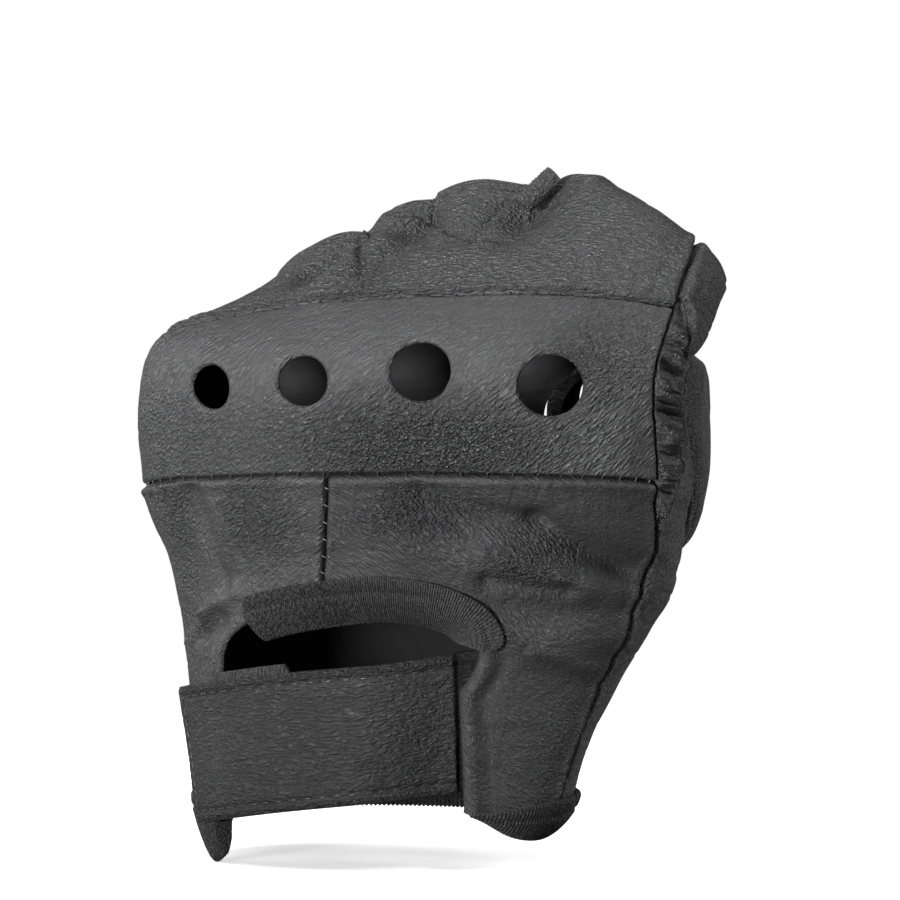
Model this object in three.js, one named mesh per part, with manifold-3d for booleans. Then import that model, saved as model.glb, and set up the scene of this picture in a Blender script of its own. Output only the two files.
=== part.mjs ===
// A fingerless leather motorcycle glove, the left one of a pair, in its closed form with the fingers bent.
// Millimetres. +Z runs from the wrist up to the knuckles, the glove's back faces -Y and the thumb is at +X.
// The origin is the middle of the wrist opening.
//
// The glove's outer surface is one tube, given by the table SECTIONS. A point of it has two coordinates:
//   phi      the angle round the glove: 0 at the thumb side, 90 degrees on the back, 180 at the little finger
//            side, and below 0 on the palm
//   station  the row of SECTIONS, with fractions between the rows
// Every leather panel is a piece of this surface between seams, with its own wall thickness.
import * as THREE from "three";
import { mergeVertices } from "three/addons/utils/BufferGeometryUtils.js";
import Module from "manifold-3d";

const LEATHER = 1.4; // wall of a leather panel
const KNIT = 1.1; // wall of a knitted binding
const GAP = 0.3; // between neighbouring pieces
const SEAM = 0.012; // half the gap at a cross seam, in stations

const DEG = Math.PI / 180;
const { lerp, clamp, smoothstep } = THREE.MathUtils;

// One row for each station from the wrist to the finger ends. back and front are the middle of the back and of
// the palm side, ulnarX and radialX the outline towards the little finger and the thumb, widest the share of the
// way from front to back where the section is widest, rise the slope of the section across the glove, the powers
// say how square each side is, and tipFall is how much lower the thumb side of the index finger hangs.
const SECTIONS = [
  { at: "hem", backY: -27, backZ: 2.5, frontY: 26, frontZ: 4.5, ulnarX: -33.5, radialX: 35,
    widest: 0.5, rise: 0, ulnarPower: 2.1, radialPower: 2.3, frontPower: 2.2, tipFall: 0 },
  { at: "cuff", backY: -28, backZ: 16, frontY: 28, frontZ: 15, ulnarX: -34.5, radialX: 39.6,
    widest: 0.5, rise: 0.02, ulnarPower: 2.1, radialPower: 2.3, frontPower: 2.2, tipFall: 0 },
  { at: "strap top", backY: -29.5, backZ: 32, frontY: 30, frontZ: 30, ulnarX: -37, radialX: 47,
    widest: 0.48, rise: 0.03, ulnarPower: 2, radialPower: 2.5, frontPower: 2.3, tipFall: 0 },
  { at: "opening top", backY: -33.5, backZ: 47.5, frontY: 27, frontZ: 44, ulnarX: -39.2, radialX: 55.5,
    widest: 0.46, rise: 0, ulnarPower: 1.9, radialPower: 2.8, frontPower: 2.4, tipFall: 0 },
  { at: "lower seam", backY: -43, backZ: 65.5, frontY: 10, frontZ: 61, ulnarX: -40.8, radialX: 60.5,
    widest: 0.46, rise: 0, ulnarPower: 1.75, radialPower: 3, frontPower: 2.7, tipFall: 0 },
  { at: "knuckles", backY: -50, backZ: 83, frontY: -12, frontZ: 79, ulnarX: -37, radialX: 62.5,
    widest: 0.42, rise: 0, ulnarPower: 1.7, radialPower: 3, frontPower: 2.8, tipFall: 0 },
  { at: "upper seam", backY: -41, backZ: 97, frontY: -16, frontZ: 88.5, ulnarX: -33, radialX: 65,
    widest: 0.42, rise: 0.03, ulnarPower: 1.72, radialPower: 3, frontPower: 3, tipFall: 1 },
  { at: "finger crotch", backY: -20, backZ: 112.8, frontY: -6, frontZ: 94.5, ulnarX: -23.5, radialX: 66,
    widest: 0.46, rise: 0.19, ulnarPower: 1.78, radialPower: 2.6, frontPower: 2.7, tipFall: 6 },
  { at: "finger end", backY: -6, backZ: 122, frontY: 9, frontZ: 102.6, ulnarX: -17, radialX: 58.5,
    widest: 0.46, rise: 0.24, ulnarPower: 2.1, radialPower: 2.5, frontPower: 2.6, tipFall: 18 },
];
const LOWER_SEAM = 4;
const UPPER_SEAM = 6;
const CROTCH = 7;
const FALL_FROM = 0.38; // share of the half width where tipFall begins
const FALL_OVER = 0.45;

// The valleys between the fingers, at a constant angle round the glove, with their half width and their depth.
const NOTCHES = [
  { between: "index_middle", phi: 75 * DEG, width: 8.5 * DEG, depth: 6.7 },
  { between: "middle_ring", phi: 100 * DEG, width: 5.5 * DEG, depth: 3.6 },
  { between: "ring_little", phi: 122 * DEG, width: 5.5 * DEG, depth: 3.2 },
];
const NOTCH_FADE = { from: 6.95, to: 7.5, share: 0.55 }; // the valleys get shallower towards the finger ends
const KNUCKLE_DIP = 0.9; // between two knuckles, on the band
const SLIT = 0.014; // half the angle that opens between two finger backs on the way to their ends
const SLIT_ROOT = 0.008; // and half the angle that is open at the crotch

// The four fingers from the thumb side, with the stations where the edge of each stall lies at its two sides.
const FINGERS = [
  { name: "index", thumbSide: 7.8, littleSide: 7.5, columns: 9 },
  { name: "middle", thumbSide: 7.58, littleSide: 7.62, columns: 5 },
  { name: "ring", thumbSide: 7.62, littleSide: 7.52, columns: 4 },
  { name: "little", thumbSide: 7.56, littleSide: 7.85, columns: 8 },
];

// Knuckle holes, in the view of the glove's back.
const HOLES = [
  { over: "index", x: 44, z: 80.8, diameter: 10.4 },
  { over: "middle", x: 21.3, z: 83.6, diameter: 9.8 },
  { over: "ring", x: -0.4, z: 82, diameter: 8.4 },
  { over: "little", x: -19.2, z: 81, diameter: 7.4 },
];
const PUNCH_DEPTH = 8 * LEATHER;

// Main folds of the leather on the back: each is a line from one end to the other in the back view, with the
// half width of its dent and how deep it is. A depth below zero is a ridge.
const FOLDS = [
  { name: "below index knuckle", x0: 18, z0: 60, x1: 53, z1: 47, width: 4.5, depth: 2 },
  { name: "ridge under it", x0: 16, z0: 53.5, x1: 44, z1: 46, width: 4, depth: -1.2 },
  { name: "thumb root ridge", x0: 33, z0: 36.5, x1: 52, z1: 36, width: 3.5, depth: -1.1 },
  { name: "thumb root dent", x0: 33, z0: 42, x1: 51, z1: 41, width: 3, depth: 1.2 },
  { name: "little finger dent", x0: -29, z0: 60, x1: -32, z1: 38, width: 4, depth: 1.6 },
  { name: "ring finger fold", x0: 2, z0: 109, x1: -6, z1: 102, width: 3, depth: 1.6 },
  { name: "ring finger ridge", x0: 8, z0: 106, x1: 0, z1: 99, width: 3.5, depth: -1 },
  { name: "middle finger fold", x0: 9, z0: 109, x1: 25, z1: 108, width: 2.6, depth: 1.5 },
];

// Where the back panels meet the side and the palm, as an angle for a station.
const SIDE_SEAM = [
  { station: 0, radial: 9, ulnar: 190 },
  { station: 3, radial: 14, ulnar: 192 },
  { station: 4, radial: 16, ulnar: 194 },
  { station: 6, radial: 17, ulnar: 194 },
  { station: 8, radial: 22, ulnar: 190 },
];
const SIDE_GAP = 2.2 * GAP;
const CENTRE_SEAM = { lowX: -1.4, highX: 2.6, risesFrom: 3 }; // between the two back panels

// The gathered strip beside the index knuckle, between the side seam and the palm.
const GUSSET = { from: 3.62, to: 6.12, width: 17 * DEG, waves: 6, wave: 0.8, wall: 1.3, endMargin: 0.02 };

// The thumb tube starts at an oval on the side of the palm and ends at a round opening.
const THUMB = {
  phi: -36 * DEG, station: 4.55, overPhi: 28 * DEG, overStation: 1.3,
  endX: 38, endY: 35, endZ: 84, endRadius: 12.5,
  aimX: -0.62, aimY: 0.6, aimZ: 0.5, sideX: 0.72, sideY: 0.69, rootPull: 29, endPull: 24,
  sides: 22, rings: 9, cutterRings: 4, cutterDepth: 6,
};

// The arched opening on the back of the wrist, as its outline in the back view.
const OPENING = {
  leftX: -24.2, rightX: 22.4, sideTop: 27, shoulderZ: 36, leftBulgeX: -23.5, rightBulgeX: 27.2,
  crownX: 8, crownZ: 43.4, crownEase: 3, bottomZ: -12, bindFrom: 0.362, bindTo: 0.682,
};
const OPENING_POINTS = 9; // on each part of the outline
const OPENING_CUT = 60; // how deep the outline is cut

// A knit binding reaches up from the edge by its flap and hangs over it by its overhang.
const OPENING_BINDING = { steps: 26, flap: 4.6, overhang: 4.2, flapAtSides: 0.75, overhangAtSides: 0.35 };
const CUFF_BINDING = { steps: 36, flap: 3.4, overhang: 2.6, besideOpening: 0.6 };
const BINDING_CLEARANCE = 0.45; // between the leather's face and the knit
const BINDING_INSIDE = 0.8; // share of the flap that the inner side has
const CUFF_DIPS = [
  { side: "thumb", phi: 22 * DEG, width: 20 * DEG, depth: 0.8 },
  { side: "little finger", phi: 145 * DEG, width: 15 * DEG, depth: 2.4 },
  { side: "thumb end of the opening", phi: 56 * DEG, width: 16 * DEG, depth: -1.3 },
];

const STRAP = {
  fromX: 28, fromStation: 1.2, bottomPhi: 145.5 * DEG, topPhi: 153 * DEG,
  topZ: 31.6, bottomZ: 6.3, slope: 0.118, bow: 0.0016, wall: 1.5, rootRaise: -1.8, tuckedTo: 20.5, fullFrom: 4,
  raise: 3.5,
};
const CLOSURE = { fromX: -4, toPhi: 142 * DEG, above: 1.5, bottomMargin: 9, wall: 0.9, raise: 1.4 };

// The rolled edge lies on the finger backs from one place to another.
const ROLL = {
  fromPhi: 79 * DEG, fromStation: 7.02, toPhi: 71 * DEG, toStation: 7.55, radius: 1.9, length: 8, chamfer: 0.4,
  sides: 12,
};

// Smooth curve through the values of one column of SECTIONS.
function column(name, station) {
  const last = SECTIONS.length - 1;
  const i = clamp(Math.floor(station), 0, last - 1);
  const t = station - i;
  const at = (k) => SECTIONS[clamp(k, 0, last)][name];
  const [a, b, c, d] = [at(i - 1), at(i), at(i + 1), at(i + 2)];
  const before = (i === 0 ? c - b : (c - a) / 2);
  const after = (i === last - 1 ? c - b : (d - b) / 2);
  const u = t * t * (3 - 2 * t);
  return b + u * (c - b) + t * (1 - t) * ((1 - t) * before - t * after);
}

function section(station) {
  const k = {};
  for (const name of Object.keys(SECTIONS[0])) {
    if (name !== "at") k[name] = column(name, station);
  }
  k.middleX = (k.ulnarX + k.radialX) / 2;
  k.halfWidth = (k.radialX - k.ulnarX) / 2;
  k.thickness = Math.hypot(k.backY - k.frontY, k.backZ - k.frontZ);
  return k;
}

// Depth of the valleys between the fingers.
function valley(phi, station) {
  const faded = NOTCH_FADE.share * smoothstep(station, NOTCH_FADE.from, NOTCH_FADE.to);
  const onFingers = smoothstep(station, 6.05, 7.3) * (1 - faded);
  const onBand = KNUCKLE_DIP * smoothstep(station, 4.1, 4.9) * (1 - smoothstep(station, 5.1, 5.9));
  return NOTCHES.reduce((sum, n) => {
    const away = (Math.abs(phi) - n.phi) / n.width;
    return sum + (n.depth * onFingers + onBand) * Math.exp(-away * away);
  }, 0);
}

// Depth of the folds at a place in the back view.
function foldDepth(x, z) {
  return FOLDS.reduce((sum, f) => {
    const [dx, dz] = [f.x1 - f.x0, f.z1 - f.z0];
    const along = ((x - f.x0) * dx + (z - f.z0) * dz) / (dx * dx + dz * dz);
    const t = clamp(along, 0, 1);
    const away = Math.hypot(x - f.x0 - t * dx, z - f.z0 - t * dz) / f.width;
    return sum + f.depth * Math.exp(-away * away);
  }, 0);
}

// A point of the smooth surface.
function surface(phi, station) {
  const k = section(station);
  const turn = ((((phi + Math.PI) % (2 * Math.PI)) + 2 * Math.PI) % (2 * Math.PI)) - Math.PI;
  const across = Math.cos(turn);
  const onBack = turn >= 0;
  const power = onBack ? (across < 0 ? k.ulnarPower : k.radialPower) : k.frontPower;
  const height = Math.max(0, 1 - Math.abs(across) ** power) ** (1 / power);
  const x = k.middleX + k.halfWidth * across;
  let share = onBack ? k.widest + (1 - k.widest) * height : k.widest * (1 - height);
  const dip = valley(turn, station) * height / k.thickness;
  share += onBack ? -dip : dip;
  const y = lerp(k.frontY, k.backY, share);
  const fall = k.tipFall * Math.max(0, (across - FALL_FROM) / FALL_OVER) ** 1.5;
  const z = lerp(k.frontZ, k.backZ, share) + k.rise * (x - k.middleX) - fall;
  return new THREE.Vector3(x, y, z);
}

function normal(phi, station) {
  const step = 0.01;
  const along = surface(phi, station + step).sub(surface(phi, station - step));
  const round = surface(phi + step, station).sub(surface(phi - step, station));
  return along.cross(round).normalize();
}

// A point raised off the smooth surface by a distance, with the folds of the back.
function skin(phi, station, raise = 0) {
  const p = surface(phi, station);
  const facing = smoothstep(Math.sin(phi), 0.05, 0.35);
  return p.addScaledVector(normal(phi, station), raise - facing * foldDepth(p.x, p.z));
}

// The angle on the glove's back at a distance across it.
function phiAt(x, station) {
  const k = section(station);
  return Math.acos(clamp((x - k.middleX) / k.halfWidth, -1, 1));
}

// The station where the surface at an angle reaches a height.
function stationAt(phi, z) {
  let [low, high] = [-0.5, 6.2];
  for (let n = 0; n < 30; n++) {
    const middle = (low + high) / 2;
    if (surface(phi, middle).z < z) low = middle;
    else high = middle;
  }
  return (low + high) / 2;
}

// The place on the back at a point of the back view.
function onBack(x, z) {
  let phi = Math.PI / 2;
  let station = 2;
  for (let n = 0; n < 6; n++) {
    station = stationAt(phi, z);
    phi = phiAt(x, station);
  }
  return [phi, station];
}

// A column of a table of rows sorted by station, drawn straight between the rows.
function between(table, name, station) {
  const k = clamp(table.findIndex((row) => row.station > station), 1, table.length - 1);
  const [a, b] = station >= table.at(-1).station ? table.slice(-2) : [table[k - 1], table[k]];
  return lerp(a[name], b[name], clamp((station - a.station) / (b.station - a.station), 0, 1));
}
const radialSeam = (station) => between(SIDE_SEAM, "radial", station) * DEG;
const ulnarSeam = (station) => between(SIDE_SEAM, "ulnar", station) * DEG;

// A closed sheet on a grid of points: place(i, j) gives the outer and the inner point, and keep(i, j) says which
// cells there are. A wrapped sheet closes on itself across its columns.
function sheet(rows, columns, place, { wrap = false, keep = () => true } = {}) {
  const points = [];
  for (let i = 0; i < rows; i++) {
    for (let j = 0; j < columns; j++) points.push(...place(i, j));
  }
  const cells = wrap ? columns : columns - 1;
  const inGrid = (i, j) => i >= 0 && i < rows - 1 && (wrap || (j >= 0 && j < cells));
  const there = (i, j) => inGrid(i, j) && keep(i, (j + cells) % cells);
  const outer = (i, j) => 2 * (i * columns + (j % columns));
  const faces = [];
  const quad = (a, b, c, d) => faces.push(a, b, c, a, c, d);
  for (let i = 0; i < rows - 1; i++) {
    for (let j = 0; j < cells; j++) {
      if (!there(i, j)) continue;
      const [a, b, c, d] = [outer(i, j), outer(i, j + 1), outer(i + 1, j + 1), outer(i + 1, j)];
      quad(a, b, c, d);
      quad(d + 1, c + 1, b + 1, a + 1);
      if (!there(i - 1, j)) quad(b, a, a + 1, b + 1);
      if (!there(i + 1, j)) quad(d, c, c + 1, d + 1);
      if (!there(i, j - 1)) quad(a, d, d + 1, a + 1);
      if (!there(i, j + 1)) quad(c, b, b + 1, c + 1);
    }
  }
  return facingOut(geometryOf(points, faces));
}

function geometryOf(points, faces) {
  const geometry = new THREE.BufferGeometry().setFromPoints(points);
  geometry.setIndex(faces);
  return geometry;
}

// Turns the faces round if they point inwards.
function facingOut(geometry) {
  const p = geometry.getAttribute("position");
  const index = geometry.index.array;
  const [a, b, c] = [new THREE.Vector3(), new THREE.Vector3(), new THREE.Vector3()];
  let volume = 0;
  for (let i = 0; i < index.length; i += 3) {
    a.fromBufferAttribute(p, index[i]);
    b.fromBufferAttribute(p, index[i + 1]);
    c.fromBufferAttribute(p, index[i + 2]);
    volume += a.dot(b.cross(c));
  }
  if (volume < 0) {
    for (let i = 0; i < index.length; i += 3) [index[i + 1], index[i + 2]] = [index[i + 2], index[i + 1]];
  }
  return geometry;
}

const wasm = await Module();
wasm.setup();

function solidOf(geometry) {
  const bare = new THREE.BufferGeometry().setAttribute("position", geometry.getAttribute("position"));
  bare.setIndex(geometry.index);
  const merged = mergeVertices(bare, 1e-4);
  return new wasm.Manifold(new wasm.Mesh({
    numProp: 3,
    vertProperties: merged.attributes.position.array,
    triVerts: new Uint32Array(merged.index.array),
  }));
}

function geometryFrom(solid) {
  const mesh = solid.getMesh();
  const geometry = new THREE.BufferGeometry();
  geometry.setAttribute("position", new THREE.BufferAttribute(new Float32Array(mesh.vertProperties), 3));
  geometry.setIndex(new THREE.BufferAttribute(new Uint32Array(mesh.triVerts), 1));
  return geometry;
}

const cut = (geometry, ...cutters) =>
  geometryFrom(cutters.reduce((solid, c) => solid.subtract(solidOf(c)), solidOf(geometry)));

// A leather panel between two stations and two angles. fromPhi and toPhi are functions of the station.
function panel(rows, columns, fromStation, toStation, fromPhi, toPhi, options = {}) {
  const { wall = LEATHER, wave = () => 0 } = options;
  return sheet(rows, columns, (i, j) => {
    const station = lerp(fromStation, toStation, i / (rows - 1));
    const phi = lerp(fromPhi(station), toPhi(station), j / (columns - 1));
    const raise = wave(i / (rows - 1), j / (columns - 1));
    return [skin(phi, station, raise), skin(phi, station, raise - wall)];
  });
}

// Angles that leave the seam's gap between two pieces side by side.
const sideGap = (station) => SIDE_GAP / section(station).thickness;

function knuckleBand() {
  const band = panel(8, 35, LOWER_SEAM + SEAM, UPPER_SEAM - SEAM,
    (s) => radialSeam(s) + sideGap(s), (s) => ulnarSeam(s) - sideGap(s));
  const punches = HOLES.map(({ x, z, diameter }) => {
    const [phi, station] = onBack(x, z);
    const punch = new THREE.CylinderGeometry(diameter / 2, diameter / 2, PUNCH_DEPTH, 16);
    const turn = new THREE.Quaternion().setFromUnitVectors(new THREE.Vector3(0, 1, 0), normal(phi, station));
    punch.applyQuaternion(turn);
    punch.translate(...skin(phi, station).toArray());
    return punch;
  });
  return cut(band, ...punches);
}

// Columns of the finger region: each finger has its own, with a slit column between two fingers. A column is its
// angle at a station and the station where it ends. owners says which finger the cells after a column belong to.
function fingerColumns(first, last) {
  const edges = [];
  const owners = [];
  FINGERS.forEach((finger, f) => {
    const [before, after] = [NOTCHES[f - 1], NOTCHES[f]];
    const start = before ? (s) => before.phi + slit(s) : first;
    const stop = after ? (s) => after.phi - slit(s) : last;
    for (let n = 0; n <= finger.columns; n++) {
      const share = n / finger.columns;
      const end = lerp(finger.thumbSide, finger.littleSide, share);
      edges.push({ phi: (s) => lerp(start(s), stop(s), share), end });
      owners.push(n < finger.columns ? f : -1);
    }
  });
  return { edges, owners };
}
const slit = (station) => SLIT_ROOT + SLIT * clamp(station - CROTCH, 0, 1);

// A panel that splits into four finger tabs past the crotch. side is 1 on the back and -1 on the palm, and
// inHole says which places are left out.
function fingerSheet(side, stations, first, last, inHole = () => false) {
  const { edges, owners } = fingerColumns(first, last);
  const tabRows = 4;
  return sheet(stations.length + tabRows, edges.length, (i, j) => {
    const tab = (i - stations.length + 1) / tabRows;
    const station = tab > 0 ? lerp(CROTCH, edges[j].end, tab) : stations[i];
    const phi = side * edges[j].phi(station);
    return [skin(phi, station), skin(phi, station, -LEATHER)];
  }, { keep: (i, j) => {
    if (i >= stations.length - 1) return owners[j] >= 0;
    const corners = [[i, j], [i + 1, j], [i, j + 1], [i + 1, j + 1]];
    return !corners.every(([row, c]) => inHole(side * edges[c].phi(stations[row]), stations[row]));
  } });
}

function fingerBack() {
  const stations = [0, 0.2, 0.4, 0.6, 0.8, 1].map((t) => lerp(UPPER_SEAM + SEAM, CROTCH, t));
  return fingerSheet(1, stations, (s) => radialSeam(s) + sideGap(s), (s) => ulnarSeam(s) - sideGap(s));
}

function centreSeam(station) {
  const { lowX, highX, risesFrom } = CENTRE_SEAM;
  return phiAt(lerp(lowX, highX, clamp(station - risesFrom, 0, 1)), station);
}

function backThumbSide() {
  const leather = panel(15, 15, 0, LOWER_SEAM - SEAM,
    (s) => radialSeam(s) + sideGap(s), (s) => centreSeam(s) - sideGap(s));
  return cut(leather, openingPrism());
}

function backLittleSide() {
  const leather = panel(15, 15, 0, LOWER_SEAM - SEAM,
    (s) => centreSeam(s) + sideGap(s), (s) => ulnarSeam(s) - sideGap(s));
  return cut(leather, openingPrism());
}

// The outline of the arched opening in the back view, from the little finger side over the crown.
function openingCurve() {
  const o = OPENING;
  const path = new THREE.CurvePath();
  const at = (x, z) => new THREE.Vector2(x, z);
  path.add(new THREE.LineCurve(at(o.leftX, o.bottomZ), at(o.leftX, o.sideTop)));
  path.add(new THREE.CubicBezierCurve(at(o.leftX, o.sideTop), at(o.leftX, o.shoulderZ),
    at(o.leftBulgeX, o.crownZ - o.crownEase), at(o.crownX, o.crownZ)));
  path.add(new THREE.CubicBezierCurve(at(o.crownX, o.crownZ), at(o.rightBulgeX, o.crownZ),
    at(o.rightBulgeX + o.crownEase, o.shoulderZ), at(o.rightX, o.sideTop)));
  path.add(new THREE.LineCurve(at(o.rightX, o.sideTop), at(o.rightX, o.bottomZ)));
  return path;
}

function openingPrism() {
  const shape = new THREE.Shape(openingCurve().getPoints(OPENING_POINTS));
  const prism = new THREE.ExtrudeGeometry(shape, { depth: OPENING_CUT, bevelEnabled: false });
  prism.rotateX(Math.PI / 2);
  prism.deleteAttribute("normal");
  prism.deleteAttribute("uv");
  return facingOut(mergeVertices(prism, 1e-4));
}

// A binding folded over an edge, as a closed ring of points for each place along it. It runs over the leather
// on the outside, round the edge and back inside. place(along, reach, raise) gives a point of it.
function binding({ steps, flap, overhang }, place) {
  const over = BINDING_CLEARANCE;
  const under = -LEATHER - over;
  const [past, inner] = [-2 * over, flap * BINDING_INSIDE];
  const ring = [
    [flap, over], [flap / 2, over], [0, over], [past, over / 2], [past, -LEATHER], [0, under], [inner, under],
    [inner, under - KNIT], [0, under - KNIT], [-overhang, -LEATHER], [-overhang, 0], [0, over + KNIT],
    [flap / 2, over + KNIT], [flap, over + KNIT],
  ];
  const points = [];
  for (let i = 0; i <= steps; i++) {
    for (const [reach, raise] of ring) points.push(place(i / steps, reach, raise));
  }
  return tubeOf(points, steps + 1, ring.length);
}

// Closes rings of points into a solid, with flat caps.
function tubeOf(points, rings, size) {
  const faces = [];
  for (let i = 0; i < rings - 1; i++) {
    for (let j = 0; j < size; j++) {
      const [a, b] = [i * size + j, i * size + ((j + 1) % size)];
      faces.push(a, b, b + size, a, b + size, a + size);
    }
  }
  const cap = THREE.ShapeUtils.triangulateShape(flatten(points.slice(0, size)), []);
  for (const [a, b, c] of cap) faces.push(a, c, b);
  const last = (rings - 1) * size;
  const end = THREE.ShapeUtils.triangulateShape(flatten(points.slice(last, last + size)), []);
  for (const [a, b, c] of end) faces.push(last + a, last + b, last + c);
  return facingOut(geometryOf(points, faces));
}

// A ring of points in its own plane.
function flatten(ring) {
  const origin = ring[0];
  const across = ring[Math.floor(ring.length / 2)].clone().sub(origin).normalize();
  let up = new THREE.Vector3();
  for (let i = 1; i < ring.length - 1; i++) {
    up.add(ring[i].clone().sub(origin).cross(ring[i + 1].clone().sub(origin)));
  }
  up = up.normalize().cross(across);
  return ring.map((p) => new THREE.Vector2(p.clone().sub(origin).dot(across), p.clone().sub(origin).dot(up)));
}

function openingBinding() {
  const path = openingCurve();
  const { bindFrom, bindTo } = OPENING;
  const { flapAtSides, overhangAtSides } = OPENING_BINDING;
  return binding(OPENING_BINDING, (along, reach, raise) => {
    const t = lerp(bindFrom, bindTo, along);
    const p = path.getPoint(t);
    const tangent = path.getPoint(t + 0.01).sub(path.getPoint(t - 0.01)).normalize();
    const crown = smoothstep(p.y, OPENING.sideTop, OPENING.crownZ - OPENING.crownEase);
    const scale = lerp(reach < 0 ? overhangAtSides : flapAtSides, 1, crown);
    const [phi, station] = onBack(p.x - tangent.y * reach * scale, p.y + tangent.x * reach * scale);
    return skin(phi, station, raise);
  });
}

// The knit hangs lowest near the two ends of the opening, and least at its thumb end.
function cuffHang(phi) {
  return CUFF_DIPS.reduce((sum, dip) => {
    const away = (Math.atan2(Math.sin(phi - dip.phi), Math.cos(phi - dip.phi))) / dip.width;
    return sum + (dip.depth / CUFF_BINDING.overhang) * Math.exp(-away * away);
  }, 1);
}

function cuffBinding() {
  const start = phiAt(OPENING.rightX + CUFF_BINDING.besideOpening, 0);
  const stop = phiAt(OPENING.leftX - CUFF_BINDING.besideOpening, 0) - 2 * Math.PI;
  return binding(CUFF_BINDING, (along, reach, raise) => {
    const phi = lerp(start, stop, along);
    const perMillimetre = 0.5 / (surface(phi, 0.5).z - surface(phi, 0).z);
    const hang = reach < -KNIT ? reach * cuffHang(phi) : reach;
    return skin(phi, hang * perMillimetre, raise);
  });
}

// Heights of the strap's two edges at a distance across the glove.
const strapTop = (x) => STRAP.topZ + STRAP.slope * x - STRAP.bow * x * x;
const strapBottom = (x) => STRAP.bottomZ + STRAP.slope * x - STRAP.bow * x * x;

// The strap comes out from under the edge of the thumb side panel and lies over the closure at its free end.
function wristStrap() {
  const { fromX, bottomPhi, topPhi, wall, rootRaise, tuckedTo, fullFrom, raise } = STRAP;
  const [rows, columns] = [6, 22];
  const start = phiAt(fromX, STRAP.fromStation);
  return sheet(rows, columns, (i, j) => {
    const phi = lerp(start, lerp(bottomPhi, topPhi, i / (rows - 1)), j / (columns - 1));
    const { x } = surface(phi, 1);
    const station = stationAt(phi, lerp(strapBottom(x), strapTop(x), i / (rows - 1)));
    const lift = lerp(rootRaise, raise, smoothstep(tuckedTo - x, 0, tuckedTo - fullFrom));
    return [skin(phi, station, lift), skin(phi, station, lift - wall)];
  });
}

function strapClosure() {
  const { fromX, toPhi, above, bottomMargin, wall, raise } = CLOSURE;
  const [rows, columns] = [4, 10];
  const start = phiAt(fromX, STRAP.fromStation);
  return sheet(rows, columns, (i, j) => {
    const phi = lerp(start, toPhi, j / (columns - 1));
    const { x } = surface(phi, 1);
    const station = stationAt(phi, lerp(strapBottom(x) + bottomMargin, strapTop(x) + above, i / (rows - 1)));
    return [skin(phi, station, raise), skin(phi, station, raise - wall)];
  });
}

// How far the gathered strip pushes the palm's edge back from the side seam.
function gussetWidth(station) {
  const { from, to, width } = GUSSET;
  const share = clamp((station - from) / (to - from), 0, 1);
  return width * Math.sin(Math.PI * share) ** 0.6;
}

function sideGusset() {
  const { from, to, waves, wave, wall, endMargin } = GUSSET;
  const [rows, columns] = [25, 4];
  return sheet(rows, columns, (i, j) => {
    const share = lerp(endMargin, 1 - endMargin, i / (rows - 1));
    const station = lerp(from, to, share);
    const edge = radialSeam(station) - sideGap(station);
    const width = Math.max(gussetWidth(station) - 2 * sideGap(station), 0.02);
    const phi = edge - (width * j) / (columns - 1);
    const gather = wave * Math.sin(2 * Math.PI * waves * share + j) * Math.sin(Math.PI * share);
    return [skin(phi, station, gather), skin(phi, station, gather - wall)];
  });
}

function palm() {
  const rows = 17;
  const stations = Array.from({ length: rows + 1 }, (_, n) => lerp(0, CROTCH, n / rows));
  // On the palm the angles run the other way round, so the sheet is built at minus its columns' angles.
  const first = (s) => -(radialSeam(s) - sideGap(s) - gussetWidth(s));
  const last = (s) => 2 * Math.PI - ulnarSeam(s) - sideGap(s);
  // Whole cells well inside the thumb's oval are left out first, and the cutter then trims the oval's edge.
  const wellInside = 0.98;
  const inHole = (phi, station) =>
    Math.hypot((phi - THUMB.phi) / THUMB.overPhi, (station - THUMB.station) / THUMB.overStation) < wellInside;
  return cut(fingerSheet(-1, stations, first, last, inHole), thumbCutter());
}

const THUMB_ROOT_RADIUS = 18; // about the oval's mean, to turn millimetres into a share of it

// The oval where the thumb tube meets the palm, grown by a distance, at an angle round it.
function thumbRoot(turn, grow = 0) {
  const { phi, station, overPhi, overStation } = THUMB;
  const size = 1 + grow / THUMB_ROOT_RADIUS;
  return [phi + overPhi * size * Math.cos(turn), station + overStation * size * Math.sin(turn)];
}

// A point of the thumb tube: ring counts from the oval on the palm to the round end, and inset is how deep the
// point lies under the outside.
function thumbPoint(ring, side, inset) {
  const t = THUMB;
  const end = new THREE.Vector3(t.endX, t.endY, t.endZ);
  const aim = new THREE.Vector3(t.aimX, t.aimY, t.aimZ).normalize();
  const across = new THREE.Vector3(t.sideX, t.sideY, 0);
  across.addScaledVector(aim, -across.dot(aim)).normalize();
  const up = new THREE.Vector3().crossVectors(across, aim);
  const turn = (2 * Math.PI * side) / t.sides;
  const [phi, station] = thumbRoot(turn, -inset);
  const out = normal(phi, station).multiplyScalar(t.rootPull);
  const tip = end.clone()
    .addScaledVector(across, (t.endRadius - inset) * Math.cos(turn))
    .addScaledVector(up, (t.endRadius - inset) * Math.sin(turn));
  const u = ring / (t.rings - 1);
  const blend = u * u * (3 - 2 * u);
  return skin(phi, station).lerp(tip, blend)
    .addScaledVector(out, u * (1 - u) * (1 - u))
    .addScaledVector(aim, -u * u * (1 - u) * t.endPull);
}

// The tube with its gap all round, from inside the palm's wall outwards.
function thumbCutter() {
  const { sides, cutterRings, cutterDepth } = THUMB;
  const points = [];
  for (let side = 0; side < sides; side++) {
    const [phi, station] = thumbRoot((2 * Math.PI * side) / sides, 2 * GAP);
    points.push(skin(phi, station, -cutterDepth));
  }
  for (let ring = 0; ring < cutterRings; ring++) {
    for (let side = 0; side < sides; side++) points.push(thumbPoint(ring, side, -2 * GAP));
  }
  return tubeOf(points, cutterRings + 1, sides);
}

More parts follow.
